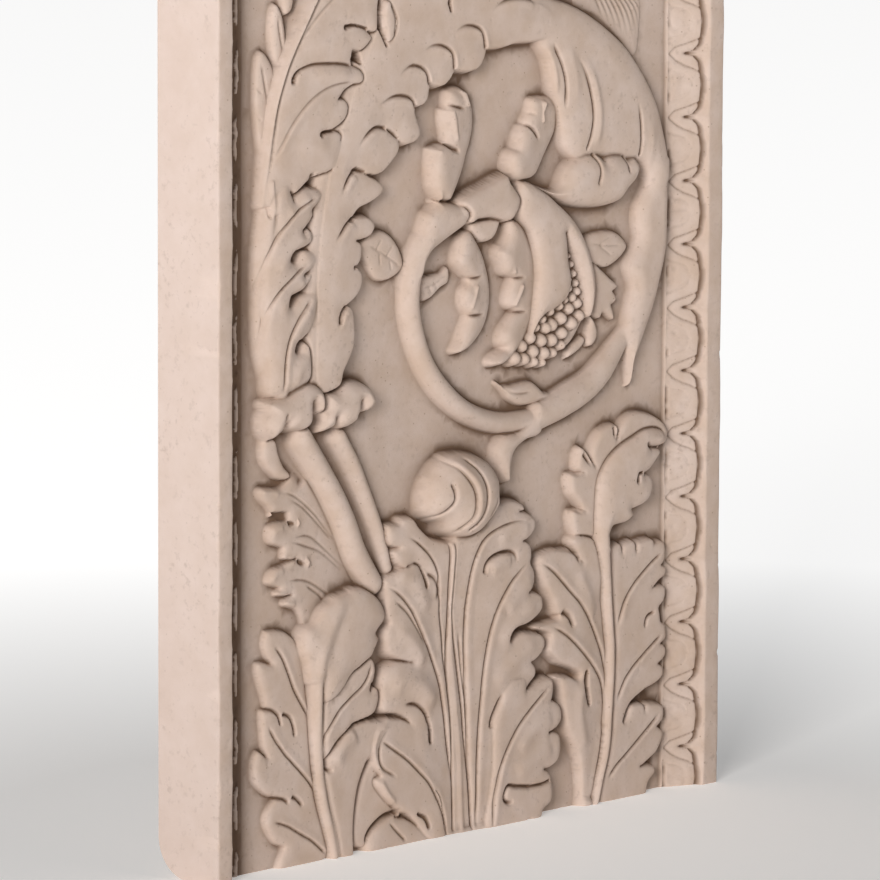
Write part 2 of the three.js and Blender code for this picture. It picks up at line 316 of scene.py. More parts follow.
# %% Great leaf
def great_leaf():
    flank = [(126, 432), (124, 480), (125, 530), (130, 575), (138, 615), (149, 650), (164, 680),
             (181, 712), (200, 745), (222, 785), (236, 826), (300, 826), (250, 745), (200, 650),
             (178, 560), (176, 440)]
    lobe(flank, 6, 13.5, 12)
    lobe([(140, 432), (167, 431), (174, 445), (184, 460), (188, 472), (187, 488), (184, 500), (176, 503),
          (176, 503), (190, 511), (197, 521), (197, 531), (190, 537), (190, 537), (196, 545), (196, 557),
          (190, 561), (206, 563), (213, 568), (214, 574), (206, 580), (190, 581), (184, 581), (194, 590),
          (209, 594), (222, 600), (226, 606), (219, 612), (208, 617), (198, 621), (185, 624), (203, 620),
          (221, 619), (235, 627), (246, 638), (245, 648), (238, 655), (228, 659), (228, 659), (246, 647),
          (257, 643), (270, 645), (275, 652), (272, 661), (268, 670), (267, 677), (267, 677), (276, 676),
          (284, 680), (287, 690), (286, 697), (286, 697), (301, 692), (312, 695), (320, 704), (320, 706),
          (340, 703), (354, 705), (362, 716), (362, 722), (362, 722), (390, 722), (410, 725), (432, 724),
          (452, 727), (462, 733), (460, 743), (452, 751), (438, 758), (424, 764), (440, 790), (400, 826),
          (250, 826), (236, 785), (214, 745), (195, 712), (178, 680), (163, 650), (152, 615), (144, 575),
          (139, 530), (138, 480)], 13.5, 17.5, 45, seam=0)
    folds = [
        [(176, 503), (168, 496), (164, 484)],
        [(185, 624), (176, 616), (168, 604)],
        [(184, 581), (174, 575), (160, 562)],
        [(228, 659), (214, 661), (200, 655), (190, 645)],
        [(268, 675), (262, 683), (250, 687), (235, 687), (215, 680)],
        [(287, 694), (281, 706), (271, 712), (258, 713), (243, 706)],
        [(320, 706), (315, 721), (304, 728), (290, 730), (274, 725)],
        [(362, 722), (356, 737), (347, 743), (332, 745), (316, 740)],
        [(426, 763), (405, 766), (385, 764), (368, 757)],
    ]
    for cut in folds:
        crease(cut, 1.6, 4.5, (0.02, 0.6))
        crease([(x + 3, z - 4) for x, z in cut], 4, -1.6, (0.1, 0.5))
    lobe([(229, 737), (226, 750), (224, 765), (229, 774), (235, 768), (240, 757), (238, 745)], 16, 18, 5)
    crease([(232, 771), (238, 757), (236, 742)], 1.2, 3)
    drill([(184, 623), (190, 625), (200, 622)], [2.8, 2, 1], 10)
    drill([(167, 489), (170, 497), (178, 503)], [2.0, 2, 1.2], 9)
    drill([(187, 537), (194, 538)], [1.5, 1], 5)
    drill([(184, 580), (192, 583)], [2.5, 1.2], 8)
    drill([(310, 768), (312, 760)], [2.8, 1.6], 10)


great_leaf()
print("great leaf carved")

# %% Strand of leaves below it
def strand():
    stem([(80, 622), (80, 603), (79, 580), (78, 553), (78, 527), (79, 500), (81, 473), (87, 453),
          (94, 432)], [5, 9, 13, 14, 14, 15, 15, 15, 15],
         [16, 16, 15, 14, 14, 14, 15, 15, 16], root=1.2, blend=6)
    lobe([(72, 534), (76, 562), (82, 589), (80, 598), (85, 611), (87, 619), (98, 621), (103, 616),
          (108, 605), (108, 605), (116, 611), (126, 613), (138, 612), (145, 607), (143, 602), (137, 596),
          (133, 593), (134, 589), (130, 583), (122, 576), (122, 576), (128, 577), (133, 572), (132, 565),
          (125, 561), (116, 559), (108, 555), (106, 550), (112, 548), (120, 557), (129, 557), (137, 552),
          (137, 545), (132, 540), (124, 536), (124, 536), (131, 537), (132, 532), (126, 526), (119, 522),
          (108, 519), (104, 515), (105, 509), (112, 512), (121, 517), (133, 519), (140, 514), (138, 503),
          (134, 491), (128, 483), (120, 478), (114, 473), (112, 467), (117, 467), (122, 474), (128, 476),
          (132, 468), (134, 455), (133, 444), (128, 438), (101, 430), (79, 432), (76, 455), (74, 482),
          (71, 509)], 10, 18, 17)
    for cut in ([(140, 606), (124, 601), (109, 594), (96, 584), (85, 574), (76, 559), (70, 542),
                 (66, 528), (63, 512)],
                [(127, 546), (114, 541), (98, 532), (85, 523), (76, 511), (72, 499), (70, 487), (67, 471)],
                [(131, 515), (119, 505), (109, 495), (101, 484), (96, 472), (93, 457), (92, 432)]):
        fold(cut, 3.5)
    crease([(78, 589), (77, 598), (82, 612)], 1.6, 4, (0.1, 0.3))
    for cut in ([(105, 549), (107, 554), (115, 559)],
                [(104, 509), (103, 515), (108, 519)],
                [(111, 467), (113, 473), (119, 478)]):
        crease(cut, 2.2, 7, (0.05, 0.3))
    for cut in ([(88, 613), (87, 603), (83, 592)],
                [(127, 607), (111, 602), (96, 593)],
                [(122, 571), (103, 560), (83, 541)],
                [(124, 530), (104, 521), (85, 505)],
                [(127, 506), (117, 495), (106, 478)],
                [(122, 465), (111, 452), (106, 436)]):
        crease(cut, 6, -1.8)


strand()
print("strand carved")

# %% Upper leaf
def upper_leaf():
    lobe([(76, 640), (70, 670), (67, 705), (69, 730), (74, 738), (82, 734), (90, 722), (94, 710), (88, 690),
          (82, 660)], 3, 7, 8)
    lobe([(92, 726), (87, 745), (87, 762), (90, 776), (95, 778), (101, 768), (105, 750), (105, 735)],
         3.5, 8, 7)
    lobe([(103, 770), (101, 790), (104, 806), (110, 800), (115, 785), (112, 772)], 4, 8, 6)
    crease([(73, 728), (80, 700), (86, 682)], 1.2, 1.8)
    crease([(93, 768), (97, 748), (102, 732)], 1.2, 1.8)
    crease([(69, 706), (74, 700)], 1.0, 1.5)
    crease([(69, 682), (75, 676)], 1.0, 1.5)
    lobe([(74, 602), (90, 606), (104, 612), (111, 610), (127, 620), (139, 624), (157, 628), (164, 640),
          (168, 654), (166, 660), (154, 662), (154, 662), (171, 670), (177, 680), (174, 688), (165, 690),
          (165, 690), (172, 697), (184, 702), (194, 703), (197, 708), (193, 714), (183, 719), (181, 726),
          (190, 731), (197, 733), (207, 742), (200, 749), (200, 749), (213, 748), (215, 758), (215, 770),
          (222, 785), (232, 800), (240, 826), (166, 826), (140, 792), (124, 768), (108, 742), (94, 712),
          (85, 680), (79, 640)], 14, 18, 20, lean=0.03)
    stem([(72, 602), (77, 640), (84, 685), (94, 716), (108, 742), (124, 767), (140, 790), (167, 826)],
         [3.2, 3.2, 3.2, 3.2], [11, 16, 18.5, 19.5], base=6, blend=3)
    crease([(80, 640), (90, 652), (105, 672), (125, 690), (145, 700), (165, 704), (188, 704)],
           1.1, 1.8, (0.1, 0.1))
    crease([(84, 640), (96, 656), (112, 674), (130, 688), (150, 697)], 4, -1.2)
    crease([(105, 707), (110, 717), (128, 723), (150, 723), (170, 721), (186, 717)], 1.5, 4, (0.02, 0.1))
    crease([(125, 714), (150, 714), (180, 711)], 6, -2.2, (0.3, 0.2))
    crease([(110, 648), (130, 652), (152, 652)], 9, -1.6, (0.3, 0.3))
    crease([(120, 736), (150, 741), (185, 742)], 8, -1.6, (0.3, 0.3))
    crease([(118, 748), (135, 765), (160, 784), (190, 806)], 1.1, 1.6, (0.1, 0.2))
    drill([(141, 660), (148, 662), (160, 662)], [2.8, 1.8, 1.2], 9)
    drill([(106, 710), (109, 715), (116, 720)], [3, 2, 1], 10)
    drill([(171, 754), (182, 755), (200, 751)], [2.6, 1.4, 1.2], 9)
    drill([(131, 623), (134, 615)], [4, 4], 14)
    drill([(183, 731), (190, 727), (196, 720)], [3, 5.5, 2], 16)
    drill([(219, 774), (219, 756), (223, 745), (227, 734)], [4.5, 4.5, 3, 1.5], 16)


upper_leaf()
print("upper leaf carved")

# %% [markdown]
# The scroll is a round stem that comes out of the sheath, turns a full ring and ends in two cups. Five
# seed pods and an open fruit with berries hang from the cups, and small veined leaves lie on the
# field round about. A pod is a lobe first, and flat facets cut on its left side give it its edges.

# %% Scroll
def scroll():
    stem([(574, 442), (525, 402), (485, 386), (448, 376)], [10, 14, 16, 15], [8, 15, 17, 16], blend=4)
    lobe([(445, 388), (432, 374), (416, 364), (396, 361), (385, 350), (388, 338), (396, 323), (403, 320),
          (404, 336), (410, 348), (426, 356), (446, 361)], 8, 15, 10, blend=4)
    stem([(448, 372), (395, 374), (352, 387), (319, 408), (294, 434), (278, 463), (270, 490), (270, 512),
          (275, 532), (285, 549)],
         [11, 10, 10.5, 11.5, 11.5, 12, 12], [12, 12, 13, 14, 14, 15, 16])
    lobe([(388, 413), (398, 408), (410, 407), (421, 408), (437, 408), (446, 403), (454, 397),
          (462, 395), (457, 390), (441, 388), (422, 388), (406, 395), (399, 402)], 4, 9, 7)
    crease([(394, 409), (411, 400), (434, 399)], 1.2, 1.8)


scroll()
print("scroll carved")

# %% Limb down the right of the ring
def limb():
    lobe([(626, 604), (627, 594), (626, 579), (626, 560), (626, 538), (625, 519), (621, 501),
          (614, 482), (607, 464), (598, 446), (588, 428), (580, 413), (578, 395), (573, 390),
          (575, 395), (572, 412), (569, 429), (567, 439), (568, 448), (572, 463), (575, 474),
          (577, 485), (571, 501), (574, 510), (582, 522), (585, 531), (583, 547), (585, 560),
          (591, 570), (596, 578), (597, 591), (599, 604)], 3, 15, 14, blend=6)
    crease([(583, 582), (578, 561), (576, 524), (569, 494), (573, 475), (570, 459), (569, 431)], 4, -2.5)
    crease([(567, 494), (571, 483), (568, 468), (567, 453)], 1.6, 3)


limb()
print("limb carved")

# %% Open fruit and its berries
BERRIES = [(485, 521, 3), (489, 513, 3.5), (484, 507, 3.5), (492, 504, 4), (485, 499, 4), (495, 495, 4),
           (485, 491, 4.5), (497, 487, 4.5), (490, 482, 5), (480, 481, 4.5), (497, 476, 5.5),
           (472, 476, 5), (485, 472, 6), (500, 464, 6), (459, 472, 5), (474, 464, 6.5), (489, 458, 6.5),
           (448, 466, 5), (461, 459, 6.5), (476, 450, 6), (453, 457, 6), (439, 459, 5), (431, 450, 6.5),
           (446, 446, 6.5), (461, 445, 6.5), (475, 439, 5), (420, 443, 6), (435, 437, 6.5),
           (450, 434, 6.5), (463, 433, 5), (409, 433, 7), (423, 431, 6), (437, 427, 5), (449, 425, 4)]


def fruit():
    lobe([(477, 540), (492, 520), (501, 498), (506, 480), (512, 463), (507, 455), (491, 438), (469, 431),
          (446, 424), (424, 426), (408, 432), (416, 440), (430, 454), (450, 471), (466, 476), (480, 485),
          (483, 500), (479, 518)], 3, 7, 8)
    for x, z, r in BERRIES:
        dome(x, z, r, 8 + 1.1 * r, 6)
    lobe([(412, 566), (411, 590), (418, 596), (440, 588), (463, 573), (486, 556), (502, 537), (513, 515),
          (518, 496), (517, 478), (512, 463), (505, 465), (506, 480), (501, 498), (492, 520), (477, 541),
          (477, 541), (480, 518), (484, 500), (480, 485), (466, 476), (450, 471), (439, 464), (428, 450),
          (436, 480), (440, 510), (430, 545)], 11, 19, 16)


fruit()
print("fruit carved")

# %% Small leaves on the field
def small_leaves():
    lobe([(203, 553), (212, 562), (228, 566), (245, 560), (258, 545), (262, 532), (254, 524), (238, 520),
          (224, 523), (212, 538)], 3, 7, 9)
    lobe([(512, 534), (535, 539), (558, 536), (572, 523), (560, 511), (540, 505), (521, 513)], 3, 8, 10)
    lobe([(524, 509), (535, 504), (547, 495), (558, 487), (552, 482), (552, 482), (557, 474),
          (550, 469), (550, 469), (554, 455), (543, 461), (537, 463), (533, 458), (524, 462),
          (525, 470), (527, 488)], 4, 8, 6)
    lobe([(518, 463), (526, 456), (530, 446), (527, 437), (520, 433), (516, 437), (517, 447),
          (520, 457)], 4, 8, 6)
    lobe([(511, 443), (512, 437), (502, 430), (488, 425), (487, 426), (491, 434), (503, 440)], 4, 7, 5)
    lobe([(286, 517), (300, 519), (313, 520), (322, 525), (325, 518), (323, 510), (313, 506), (300, 498),
          (288, 498)], 2, 6, 6)
    for vein in ([(214, 554), (238, 542), (262, 528)], [(224, 549), (231, 558)], [(238, 542), (247, 552)],
                 [(228, 546), (229, 534)], [(242, 538), (244, 528)], [(512, 531), (538, 526), (566, 524)],
                 [(530, 527), (548, 515)], [(530, 528), (548, 534)],
                 [(288, 508), (304, 511), (322, 519)], [(296, 509), (300, 502)], [(304, 511), (308, 506)]):
        crease(vein, 1.0, 1.1, (0.1, 0.2))


small_leaves()
print("small leaves carved")

# %% Two pods above the cups
def cut_pods():
    lobe([(321, 687), (331, 689), (342, 686), (351, 680), (357, 670), (359, 660), (358, 647), (353, 634),
          (347, 624), (341, 612), (332, 599), (324, 589), (316, 584), (299, 596), (295, 611), (296, 626),
          (303, 635), (315, 640), (317, 655), (316, 670), (317, 683)], 4, 12.5, 14, lean=-0.2)
    facet([(319, 674), (321, 682), (322, 687), (333, 688), (342, 684), (349, 668)],
          12, ((344, 668), (337, 684)), 0.5)
    facet([(314, 639), (312, 647), (310, 658), (310, 670), (324, 670), (327, 660), (328, 651),
           (330, 639)], 14, ((325, 639), (319, 670)), 1.1)
    facet([(305, 585), (296, 597), (290, 608), (289, 619), (289, 628), (292, 635), (307, 636), (307, 623),
           (307, 611), (308, 598), (307, 586)], 15, ((302, 586), (302, 636)), 1.5)
    crease([(297, 674), (314, 674), (327, 671), (340, 668)], 1.5, 4, (0.05, 0.2))
    crease([(284, 641), (300, 641), (313, 638), (321, 634), (330, 630)], 1.8, 6, (0.1, 0.1))
    drill([(315, 636), (321, 633)], [2, 2.4], 8)
    lobe([(445, 672), (461, 671), (472, 667), (478, 659), (477, 649), (473, 637), (464, 626),
          (454, 616), (445, 606), (437, 599), (423, 597), (407, 599), (399, 609), (401, 621),
          (410, 628), (415, 640), (424, 650), (431, 662), (434, 670)], 4, 12.5, 14, lean=-0.2)
    facet([(430, 653), (434, 661), (438, 669), (452, 669), (447, 656), (449, 645)],
          14, ((444, 645), (447, 669)), 1.2)
    facet([(413, 632), (412, 641), (415, 648), (431, 647), (427, 635), (421, 626)],
          14, ((416, 626), (426, 647)), 1.5)
    facet([(403, 602), (398, 610), (398, 618), (401, 625), (412, 624), (412, 612), (409, 602)],
          14, ((404, 602), (407, 624)), 2.0)
    crease([(404, 655), (417, 651), (426, 646), (433, 640), (439, 633)], 1.7, 6, (0.05, 0.15))
    crease([(392, 633), (402, 629), (411, 625)], 1.7, 5, (0.05, 0.2))
    crease([(418, 659), (427, 658), (436, 657)], 1.3, 2.5, (0.05, 0.2))


cut_pods()
print("cut pods carved")

# %% Two pods below the cups
def bead_pods():
    lobe([(349, 563), (352, 552), (364, 545), (378, 546), (386, 556), (385, 564)], 7, 12, 8)
    lobe([(347, 556), (357, 548), (367, 537), (375, 524), (381, 511), (384, 497), (383, 483),
          (378, 471), (370, 461), (358, 453), (344, 447), (330, 446), (335, 454), (340, 465),
          (345, 474), (345, 480), (340, 490), (341, 501), (348, 509), (341, 517), (331, 528),
          (331, 538), (336, 551)], 4, 12.5, 13, lean=-0.22)
    facet([(332, 523), (328, 533), (332, 539), (337, 549), (340, 554), (343, 544), (343, 532),
           (357, 515)], 13, ((352, 515), (335, 554)), 1.4)
    facet([(347, 481), (340, 489), (339, 496), (343, 502), (354, 507), (360, 508), (355, 494),
           (351, 484)], 14, ((346, 484), (355, 508)), 2.3)
    facet([(334, 446), (341, 456), (346, 464), (349, 473), (359, 473), (349, 459), (335, 448)],
          11, ((330, 448), (354, 473)), 10.0)
    crease([(332, 515), (353, 512), (366, 514)], 1.4, 4.5, (0.05, 0.3))
    crease([(332, 482), (351, 478), (368, 478)], 1.4, 4.5, (0.05, 0.3))
    lobe([(402, 561), (413, 560), (425, 553), (436, 540), (446, 525), (451, 509), (453, 494),
          (450, 478), (444, 465), (432, 452), (419, 441), (402, 433), (389, 429), (379, 431),
          (382, 435), (388, 439), (397, 443), (392, 450), (395, 460), (407, 472), (411, 477),
          (401, 484), (403, 497), (407, 507), (396, 513), (391, 522), (386, 533), (394, 540),
          (399, 549)], 4, 13.5, 14, lean=-0.22)
    facet([(398, 510), (394, 521), (386, 533), (388, 539), (399, 538), (406, 524), (412, 509)],
          14, ((407, 509), (394, 538)), 1.4)
    facet([(413, 475), (401, 483), (405, 497), (408, 501), (423, 504), (417, 492), (409, 480)],
          15, ((404, 480), (418, 504)), 3.1)
    facet([(395, 447), (396, 453), (400, 461), (407, 463), (406, 453), (402, 443)],
          11, ((397, 443), (402, 463)), 3.3)
    for cut in ([(392, 510), (409, 507), (424, 507)],
                [(397, 477), (414, 475), (427, 475)],
                [(388, 444), (396, 444)]):
        crease(cut, 1.4, 4.5, (0.05, 0.3))


bead_pods()
print("bead pods carved")

# %% Long pod at the right
def hanging_pod():
    lobe([(431, 593), (445, 588), (461, 584), (470, 588), (476, 597), (484, 606), (498, 613),
          (507, 615), (519, 614), (529, 609), (529, 609), (539, 612), (553, 611), (563, 606),
          (563, 606), (572, 607), (578, 603), (581, 596), (576, 585), (564, 576), (553, 567),
          (533, 564), (508, 565), (484, 569), (468, 575), (450, 584)], 6, 22, 20)
    crease([(512, 614), (517, 605), (517, 596), (513, 585)], 1.5, 6, (0.02, 0.15))
    crease([(555, 609), (559, 602), (558, 593)], 1.5, 5, (0.02, 0.2))
    crease([(428, 594), (444, 586), (458, 584), (470, 588), (474, 600)], 2.5, 2)


hanging_pod()
print("hanging pod carved")

# %% Cups
def cups():
    lobe([(330, 584), (347, 591), (366, 596), (382, 601), (390, 603), (394, 603), (396, 599),
          (406, 589), (411, 581), (409, 572), (402, 564), (394, 562), (373, 567), (355, 567),
          (344, 564), (330, 572)], 12, 20, 14)
    lobe([(284, 569), (293, 579), (301, 585), (296, 588), (306, 586), (320, 584), (332, 581), (339, 575),
          (340, 567), (338, 562), (290, 540), (281, 522), (268, 516)], 7, 18, 13, blend=4, seam=0)
    crease([(306, 586), (320, 585), (331, 581), (338, 575), (340, 567), (337, 562)], 1.5, 5, (0.05, 0.1))
    crease([(396, 599), (406, 589), (411, 581), (409, 572), (402, 564)], 1.4, 4, (0.05, 0.1))


cups()
print("cups carved")

# %% [markdown]
# Along the foot stand the acanthus leaves, each one blade whose notches, thin cuts and drilled eyes part
# it into lobes. Two of them have a round rib and a hood that rolls forward at the top. Two smooth stalks
# with rolled collars lean up out of them, and a ball bud sits on the middle leaf.

# %% Leaf behind the stalks
def back_leaf():
    lobe([(116, 356), (100, 346), (74, 347), (74, 340), (87, 327), (88, 321), (89, 325), (109, 323),
          (110, 315), (97, 315), (87, 312), (84, 305), (88, 297), (104, 291), (104, 282), (120, 279),
          (120, 279), (105, 275), (91, 272), (84, 264), (87, 260), (100, 255), (95, 250), (113, 247),
          (113, 247), (105, 240), (121, 233), (128, 223), (134, 205), (160, 203), (213, 240),
          (181, 299), (133, 353)], 3.2, 7, 8, lean=-0.07)
    for cut in ([(71, 346), (90, 344), (94, 338)],
                [(86, 320), (94, 322), (109, 320)],
                [(86, 306), (93, 310), (102, 310)],
                [(86, 264), (93, 271), (103, 272)],
                [(93, 250), (109, 247)],
                [(103, 240), (119, 238)]):
        crease(cut, 3.5, -2.2)
    for cut in ([(96, 344), (118, 336), (142, 320), (158, 305), (174, 289)],
                [(108, 336), (129, 325), (150, 308), (168, 292)],
                [(113, 299), (137, 298), (158, 285), (187, 263)],
                [(110, 297), (131, 290), (155, 281), (184, 261)],
                [(107, 261), (129, 259), (147, 252), (168, 239)],
                [(133, 254), (150, 244), (160, 235)]):
        crease(cut, 1.1, 1.8, (0.2, 0.05))
    drill([(112, 312), (116, 312)], [2.4, 2], 6)
    drill([(125, 276), (129, 274)], [2.4, 2.4], 6)
    crease([(120, 312), (123, 312)], 3, -3)
    crease([(133, 274), (137, 275)], 3.5, -3.5)
    crease([(99, 282), (110, 278), (120, 278)], 3, -3)


back_leaf()
print("back leaf carved")

# %% Stalks and their husk
def stalks():
    crease([(105, 383), (118, 365), (131, 345)], 7, 5, (0.1, 0.1))
    lobe([(78, 391), (75, 382), (78, 371), (87, 361), (95, 355), (108, 353), (111, 357), (102, 366),
          (96, 377), (91, 390)], 5, 9, 8)
    stem([(124, 388), (144, 362), (164, 335), (182, 307), (198, 276), (220, 246)],
         [13.5, 13.5, 13.5, 13.5, 13.5, 13], [18, 17, 17, 16, 15, 14])
    stem([(174, 383), (192, 358), (206, 334), (219, 311), (232, 284), (241, 257)],
         [10.5, 10, 9.5, 9, 8, 7], [14, 13, 12, 11, 10, 9])


stalks()
print("stalks carved")

# %% Right leaf and its hood
def right_leaf():
    lobe([(531, 230), (531, 245), (527, 251), (513, 255), (500, 255), (494, 265), (492, 276),
          (496, 283), (509, 280), (509, 280), (502, 289), (493, 298), (489, 311), (493, 317),
          (507, 316), (507, 316), (500, 321), (501, 332), (507, 339), (523, 322), (523, 322),
          (520, 333), (523, 341), (533, 352), (549, 357), (556, 353), (555, 344), (555, 344),
          (565, 357), (578, 364), (596, 363), (615, 356), (626, 347), (628, 338), (623, 331),
          (617, 330), (590, 305), (554, 280)], 8, 11, 6)
    for cut in ([(550, 355), (551, 344)],
                [(506, 334), (518, 322)],
                [(490, 318), (505, 315)],
                [(494, 283), (507, 279)]):
        crease(cut, 1.8, 5, (0.02, 0.4))
    lobe([(445, 239), (451, 245), (468, 248), (486, 247), (497, 241), (503, 234), (503, 234),
          (495, 247), (491, 253), (496, 257), (509, 256), (522, 251), (531, 240), (540, 192),
          (545, 144), (543, 90), (536, 41), (524, -1), (508, -4), (509, 6), (506, 37), (498, 58),
          (485, 80), (476, 120), (470, 127), (486, 126), (500, 121), (504, 127), (493, 134),
          (475, 141), (468, 146), (459, 154), (461, 164), (459, 171), (441, 178), (457, 180),
          (471, 181), (474, 186), (469, 189), (464, 201), (455, 214), (448, 226)], 10, 13, 9)
    fold([(444, 240), (464, 227), (485, 208), (503, 192), (517, 174), (528, 156), (536, 138),
          (540, 121)], 4.5)
    fold([(461, 177), (478, 168), (496, 155), (512, 141), (525, 128), (534, 115), (538, 100),
          (540, 83)], 4.5)
    fold([(538, 76), (536, 57), (530, 32), (524, 4)], -4)
    crease([(465, 250), (482, 247), (494, 242), (500, 234)], 1.8, 5, (0.2, 0.02))
    crease([(475, 189), (485, 184), (492, 173)], 2.4, 6, (0.1, 0.1))
    crease([(543, 216), (549, 153), (550, 96), (540, 40), (529, 0)], 32, 4.5, (0.1, 0.02))
    drill([(512, 127), (511, 113), (516, 97)], [2.6, 4.2, 2.8], 14)
    crease([(504, 119), (500, 91), (509, 54)], 7, -2.5)
    crease([(496, 224), (510, 203), (524, 180)], 7, -2.5)
    lobe([(548, 238), (550, 242), (560, 243), (563, 235), (563, 235), (567, 241), (580, 243),
          (583, 234), (583, 234), (588, 241), (606, 242), (609, 237), (609, 237), (622, 238),
          (625, 232), (624, 221), (620, 216), (620, 216), (626, 213), (625, 206), (617, 202),
          (608, 196), (608, 196), (623, 196), (626, 189), (623, 181), (617, 176), (618, 171),
          (620, 162), (626, 158), (627, 146), (620, 141), (620, 141), (627, 137), (626, 128),
          (617, 122), (617, 122), (623, 118), (623, 110), (613, 104), (598, 100), (584, 94), (576, 89),
          (570, 81), (569, 73), (574, 78), (580, 86), (595, 86), (598, 80), (598, 80), (603, 85),
          (619, 83), (625, 78), (624, 68), (616, 62), (616, 62), (624, 56), (623, 49), (616, 39),
          (606, 33), (593, 27), (593, 27), (610, 25), (612, 18), (603, 10), (592, -11), (535, 0),
          (547, 49), (553, 100), (555, 155), (550, 203)], 9, 11.5, 7)
    for cut in ([(620, 229), (605, 221), (591, 212), (579, 203), (568, 191), (561, 178), (557, 164)],
                [(621, 151), (606, 142), (592, 133), (578, 123), (567, 113), (560, 102), (556, 93)],
                [(618, 75), (604, 65), (589, 55), (571, 43), (555, 33), (543, 21)]):
        fold(cut, 4)
    crease([(595, 159), (599, 169), (610, 173)], 1.6, 4)
    drill([(567, 74), (572, 83)], [2.6, 1.6], 7)
    stem([(532, 250), (538, 212), (543, 180), (546, 154), (546, 125), (544, 97), (542, 71), (538, 46),
          (531, 23), (525, 1)], [9, 6.5, 5.5, 5, 5, 4.8, 4.5, 4.5, 4.2, 4],
         [19, 17, 16, 15, 15, 15, 15, 15, 15, 15], base=8, blend=3)
    lobe([(524, 251), (523, 270), (524, 284), (526, 305), (533, 318), (544, 329), (558, 337),
          (575, 343), (590, 348), (606, 348), (618, 343), (616, 333), (610, 331), (599, 331),
          (599, 331), (611, 328), (611, 323), (604, 316), (597, 310), (590, 307), (590, 307),
          (599, 303), (601, 293), (596, 283), (587, 278), (572, 275), (572, 275), (573, 269),
          (565, 264), (555, 263), (546, 262), (541, 256), (540, 248), (542, 237), (526, 239)], 11, 21, 20)
    drill([(590, 335), (596, 331)], [2.4, 1.6], 8)
    drill([(574, 302), (576, 308), (582, 309)], [2.8, 2.4, 1.6], 9)


right_leaf()
print("right leaf carved")

# %% Middle leaf
def middle_leaf():
    lobe([(326, 277), (346, 283), (360, 291), (377, 299), (391, 301), (405, 301), (418, 297),
          (422, 291), (416, 290), (416, 290), (429, 286), (436, 280), (436, 272), (429, 265),
          (421, 262), (421, 262), (430, 257), (432, 247), (430, 241), (435, 233), (436, 226),
          (434, 218), (429, 213), (429, 213), (444, 209), (448, 201), (446, 194), (437, 188),
          (423, 183), (411, 180), (406, 176), (405, 170), (411, 172), (421, 175), (432, 174),
          (446, 171), (451, 164), (448, 156), (441, 150), (433, 147), (433, 147), (438, 141),
          (438, 134), (431, 128), (425, 122), (417, 109), (403, 87), (389, 54), (383, 24), (379, -8),
          (310, -8), (301, 30), (286, 60), (276, 85), (269, 105), (260, 117), (248, 123), (230, 127),
          (228, 138), (230, 160), (245, 169), (265, 168), (265, 168), (248, 174), (237, 180),
          (233, 192), (234, 201), (239, 207), (234, 215), (234, 231), (231, 245), (236, 249),
          (248, 253), (261, 257), (271, 258), (283, 252), (283, 252), (271, 259), (259, 256),
          (248, 262), (244, 271), (251, 275), (239, 279), (235, 287), (237, 296), (251, 296),
          (256, 300), (268, 300), (278, 290), (295, 278), (319, 272)], 11, 14.5, 10)
    crease([(323, 260), (323, 200), (326, 139), (333, 73), (339, -2)], 38, 5, (0.2, 0.02))
    fold([(429, 280), (406, 282), (382, 278), (365, 271), (354, 259), (348, 244), (344, 223),
          (342, 202), (341, 179), (342, 151), (344, 118), (347, 71), (351, 1)], 4.5)
    fold([(427, 244), (413, 235), (400, 225), (388, 211), (379, 196), (372, 178), (367, 157),
          (364, 139), (362, 116), (360, 93), (358, 58), (357, -3)], 4.5)
    fold([(259, 285), (276, 275), (291, 262), (301, 247), (305, 230), (307, 207), (310, 188),
          (312, 169), (316, 150), (320, 126)], -4)
    fold([(230, 244), (249, 232), (263, 219), (274, 204), (286, 184), (297, 164), (305, 147),
          (311, 127), (315, 108), (318, 87), (325, 49)], 4)
    crease([(333, 190), (338, 152), (343, 123), (345, 104)], 1.2, 2.2)
    crease([(242, 228), (259, 215), (273, 199), (286, 179)], 1.2, 2.2)
    crease([(317, 275), (318, 238), (319, 205), (317, 171), (319, 140), (323, 110), (325, 74),
            (327, 0)], 1.2, 3, (0.02, 0.02))
    crease([(324, 274), (324, 237), (324, 209), (326, 186), (331, 162), (335, 138), (339, 115),
            (341, 96), (345, 67), (349, 36), (352, -2)], 1.2, 3, (0.02, 0.02))
    crease([(321, 275), (322, 238), (322, 200), (323, 168), (327, 139), (331, 109), (335, 73),
            (338, -2)], 3.5, -2, (0.02, 0.02))
    crease([(365, 238), (367, 246), (375, 252), (389, 255), (403, 254), (408, 249), (406, 243)],
           1.8, 6, (0.02, 0.3))
    crease([(372, 240), (389, 247), (401, 248)], 6, -3)
    drill([(278, 254), (283, 244), (286, 236)], [1.6, 2.4, 3], 8)
    crease([(286, 248), (298, 241), (303, 230), (301, 220)], 2, 3.5)
    crease([(256, 130), (273, 128), (285, 119), (290, 109)], 1.8, 5, (0.3, 0.05))
    drill([(294, 91), (293, 102), (288, 116)], [3, 3, 1.4], 12)
    crease([(403, 169), (403, 176), (410, 180), (428, 183)], 2.2, 7, (0.05, 0.5))
    crease([(234, 149), (257, 153), (281, 143), (299, 122)], 11, -5)
    crease([(243, 247), (260, 247), (274, 236), (287, 211)], 9, -3)
    crease([(244, 201), (264, 189), (284, 163)], 8, -3)
    for cut in ([(427, 274), (406, 274), (382, 267)],
                [(431, 224), (417, 219), (393, 201)],
                [(438, 200), (417, 193), (386, 171)],
                [(439, 163), (418, 158), (379, 133)]):
        crease(cut, 8, -2.5)


middle_leaf()
print("middle leaf carved")

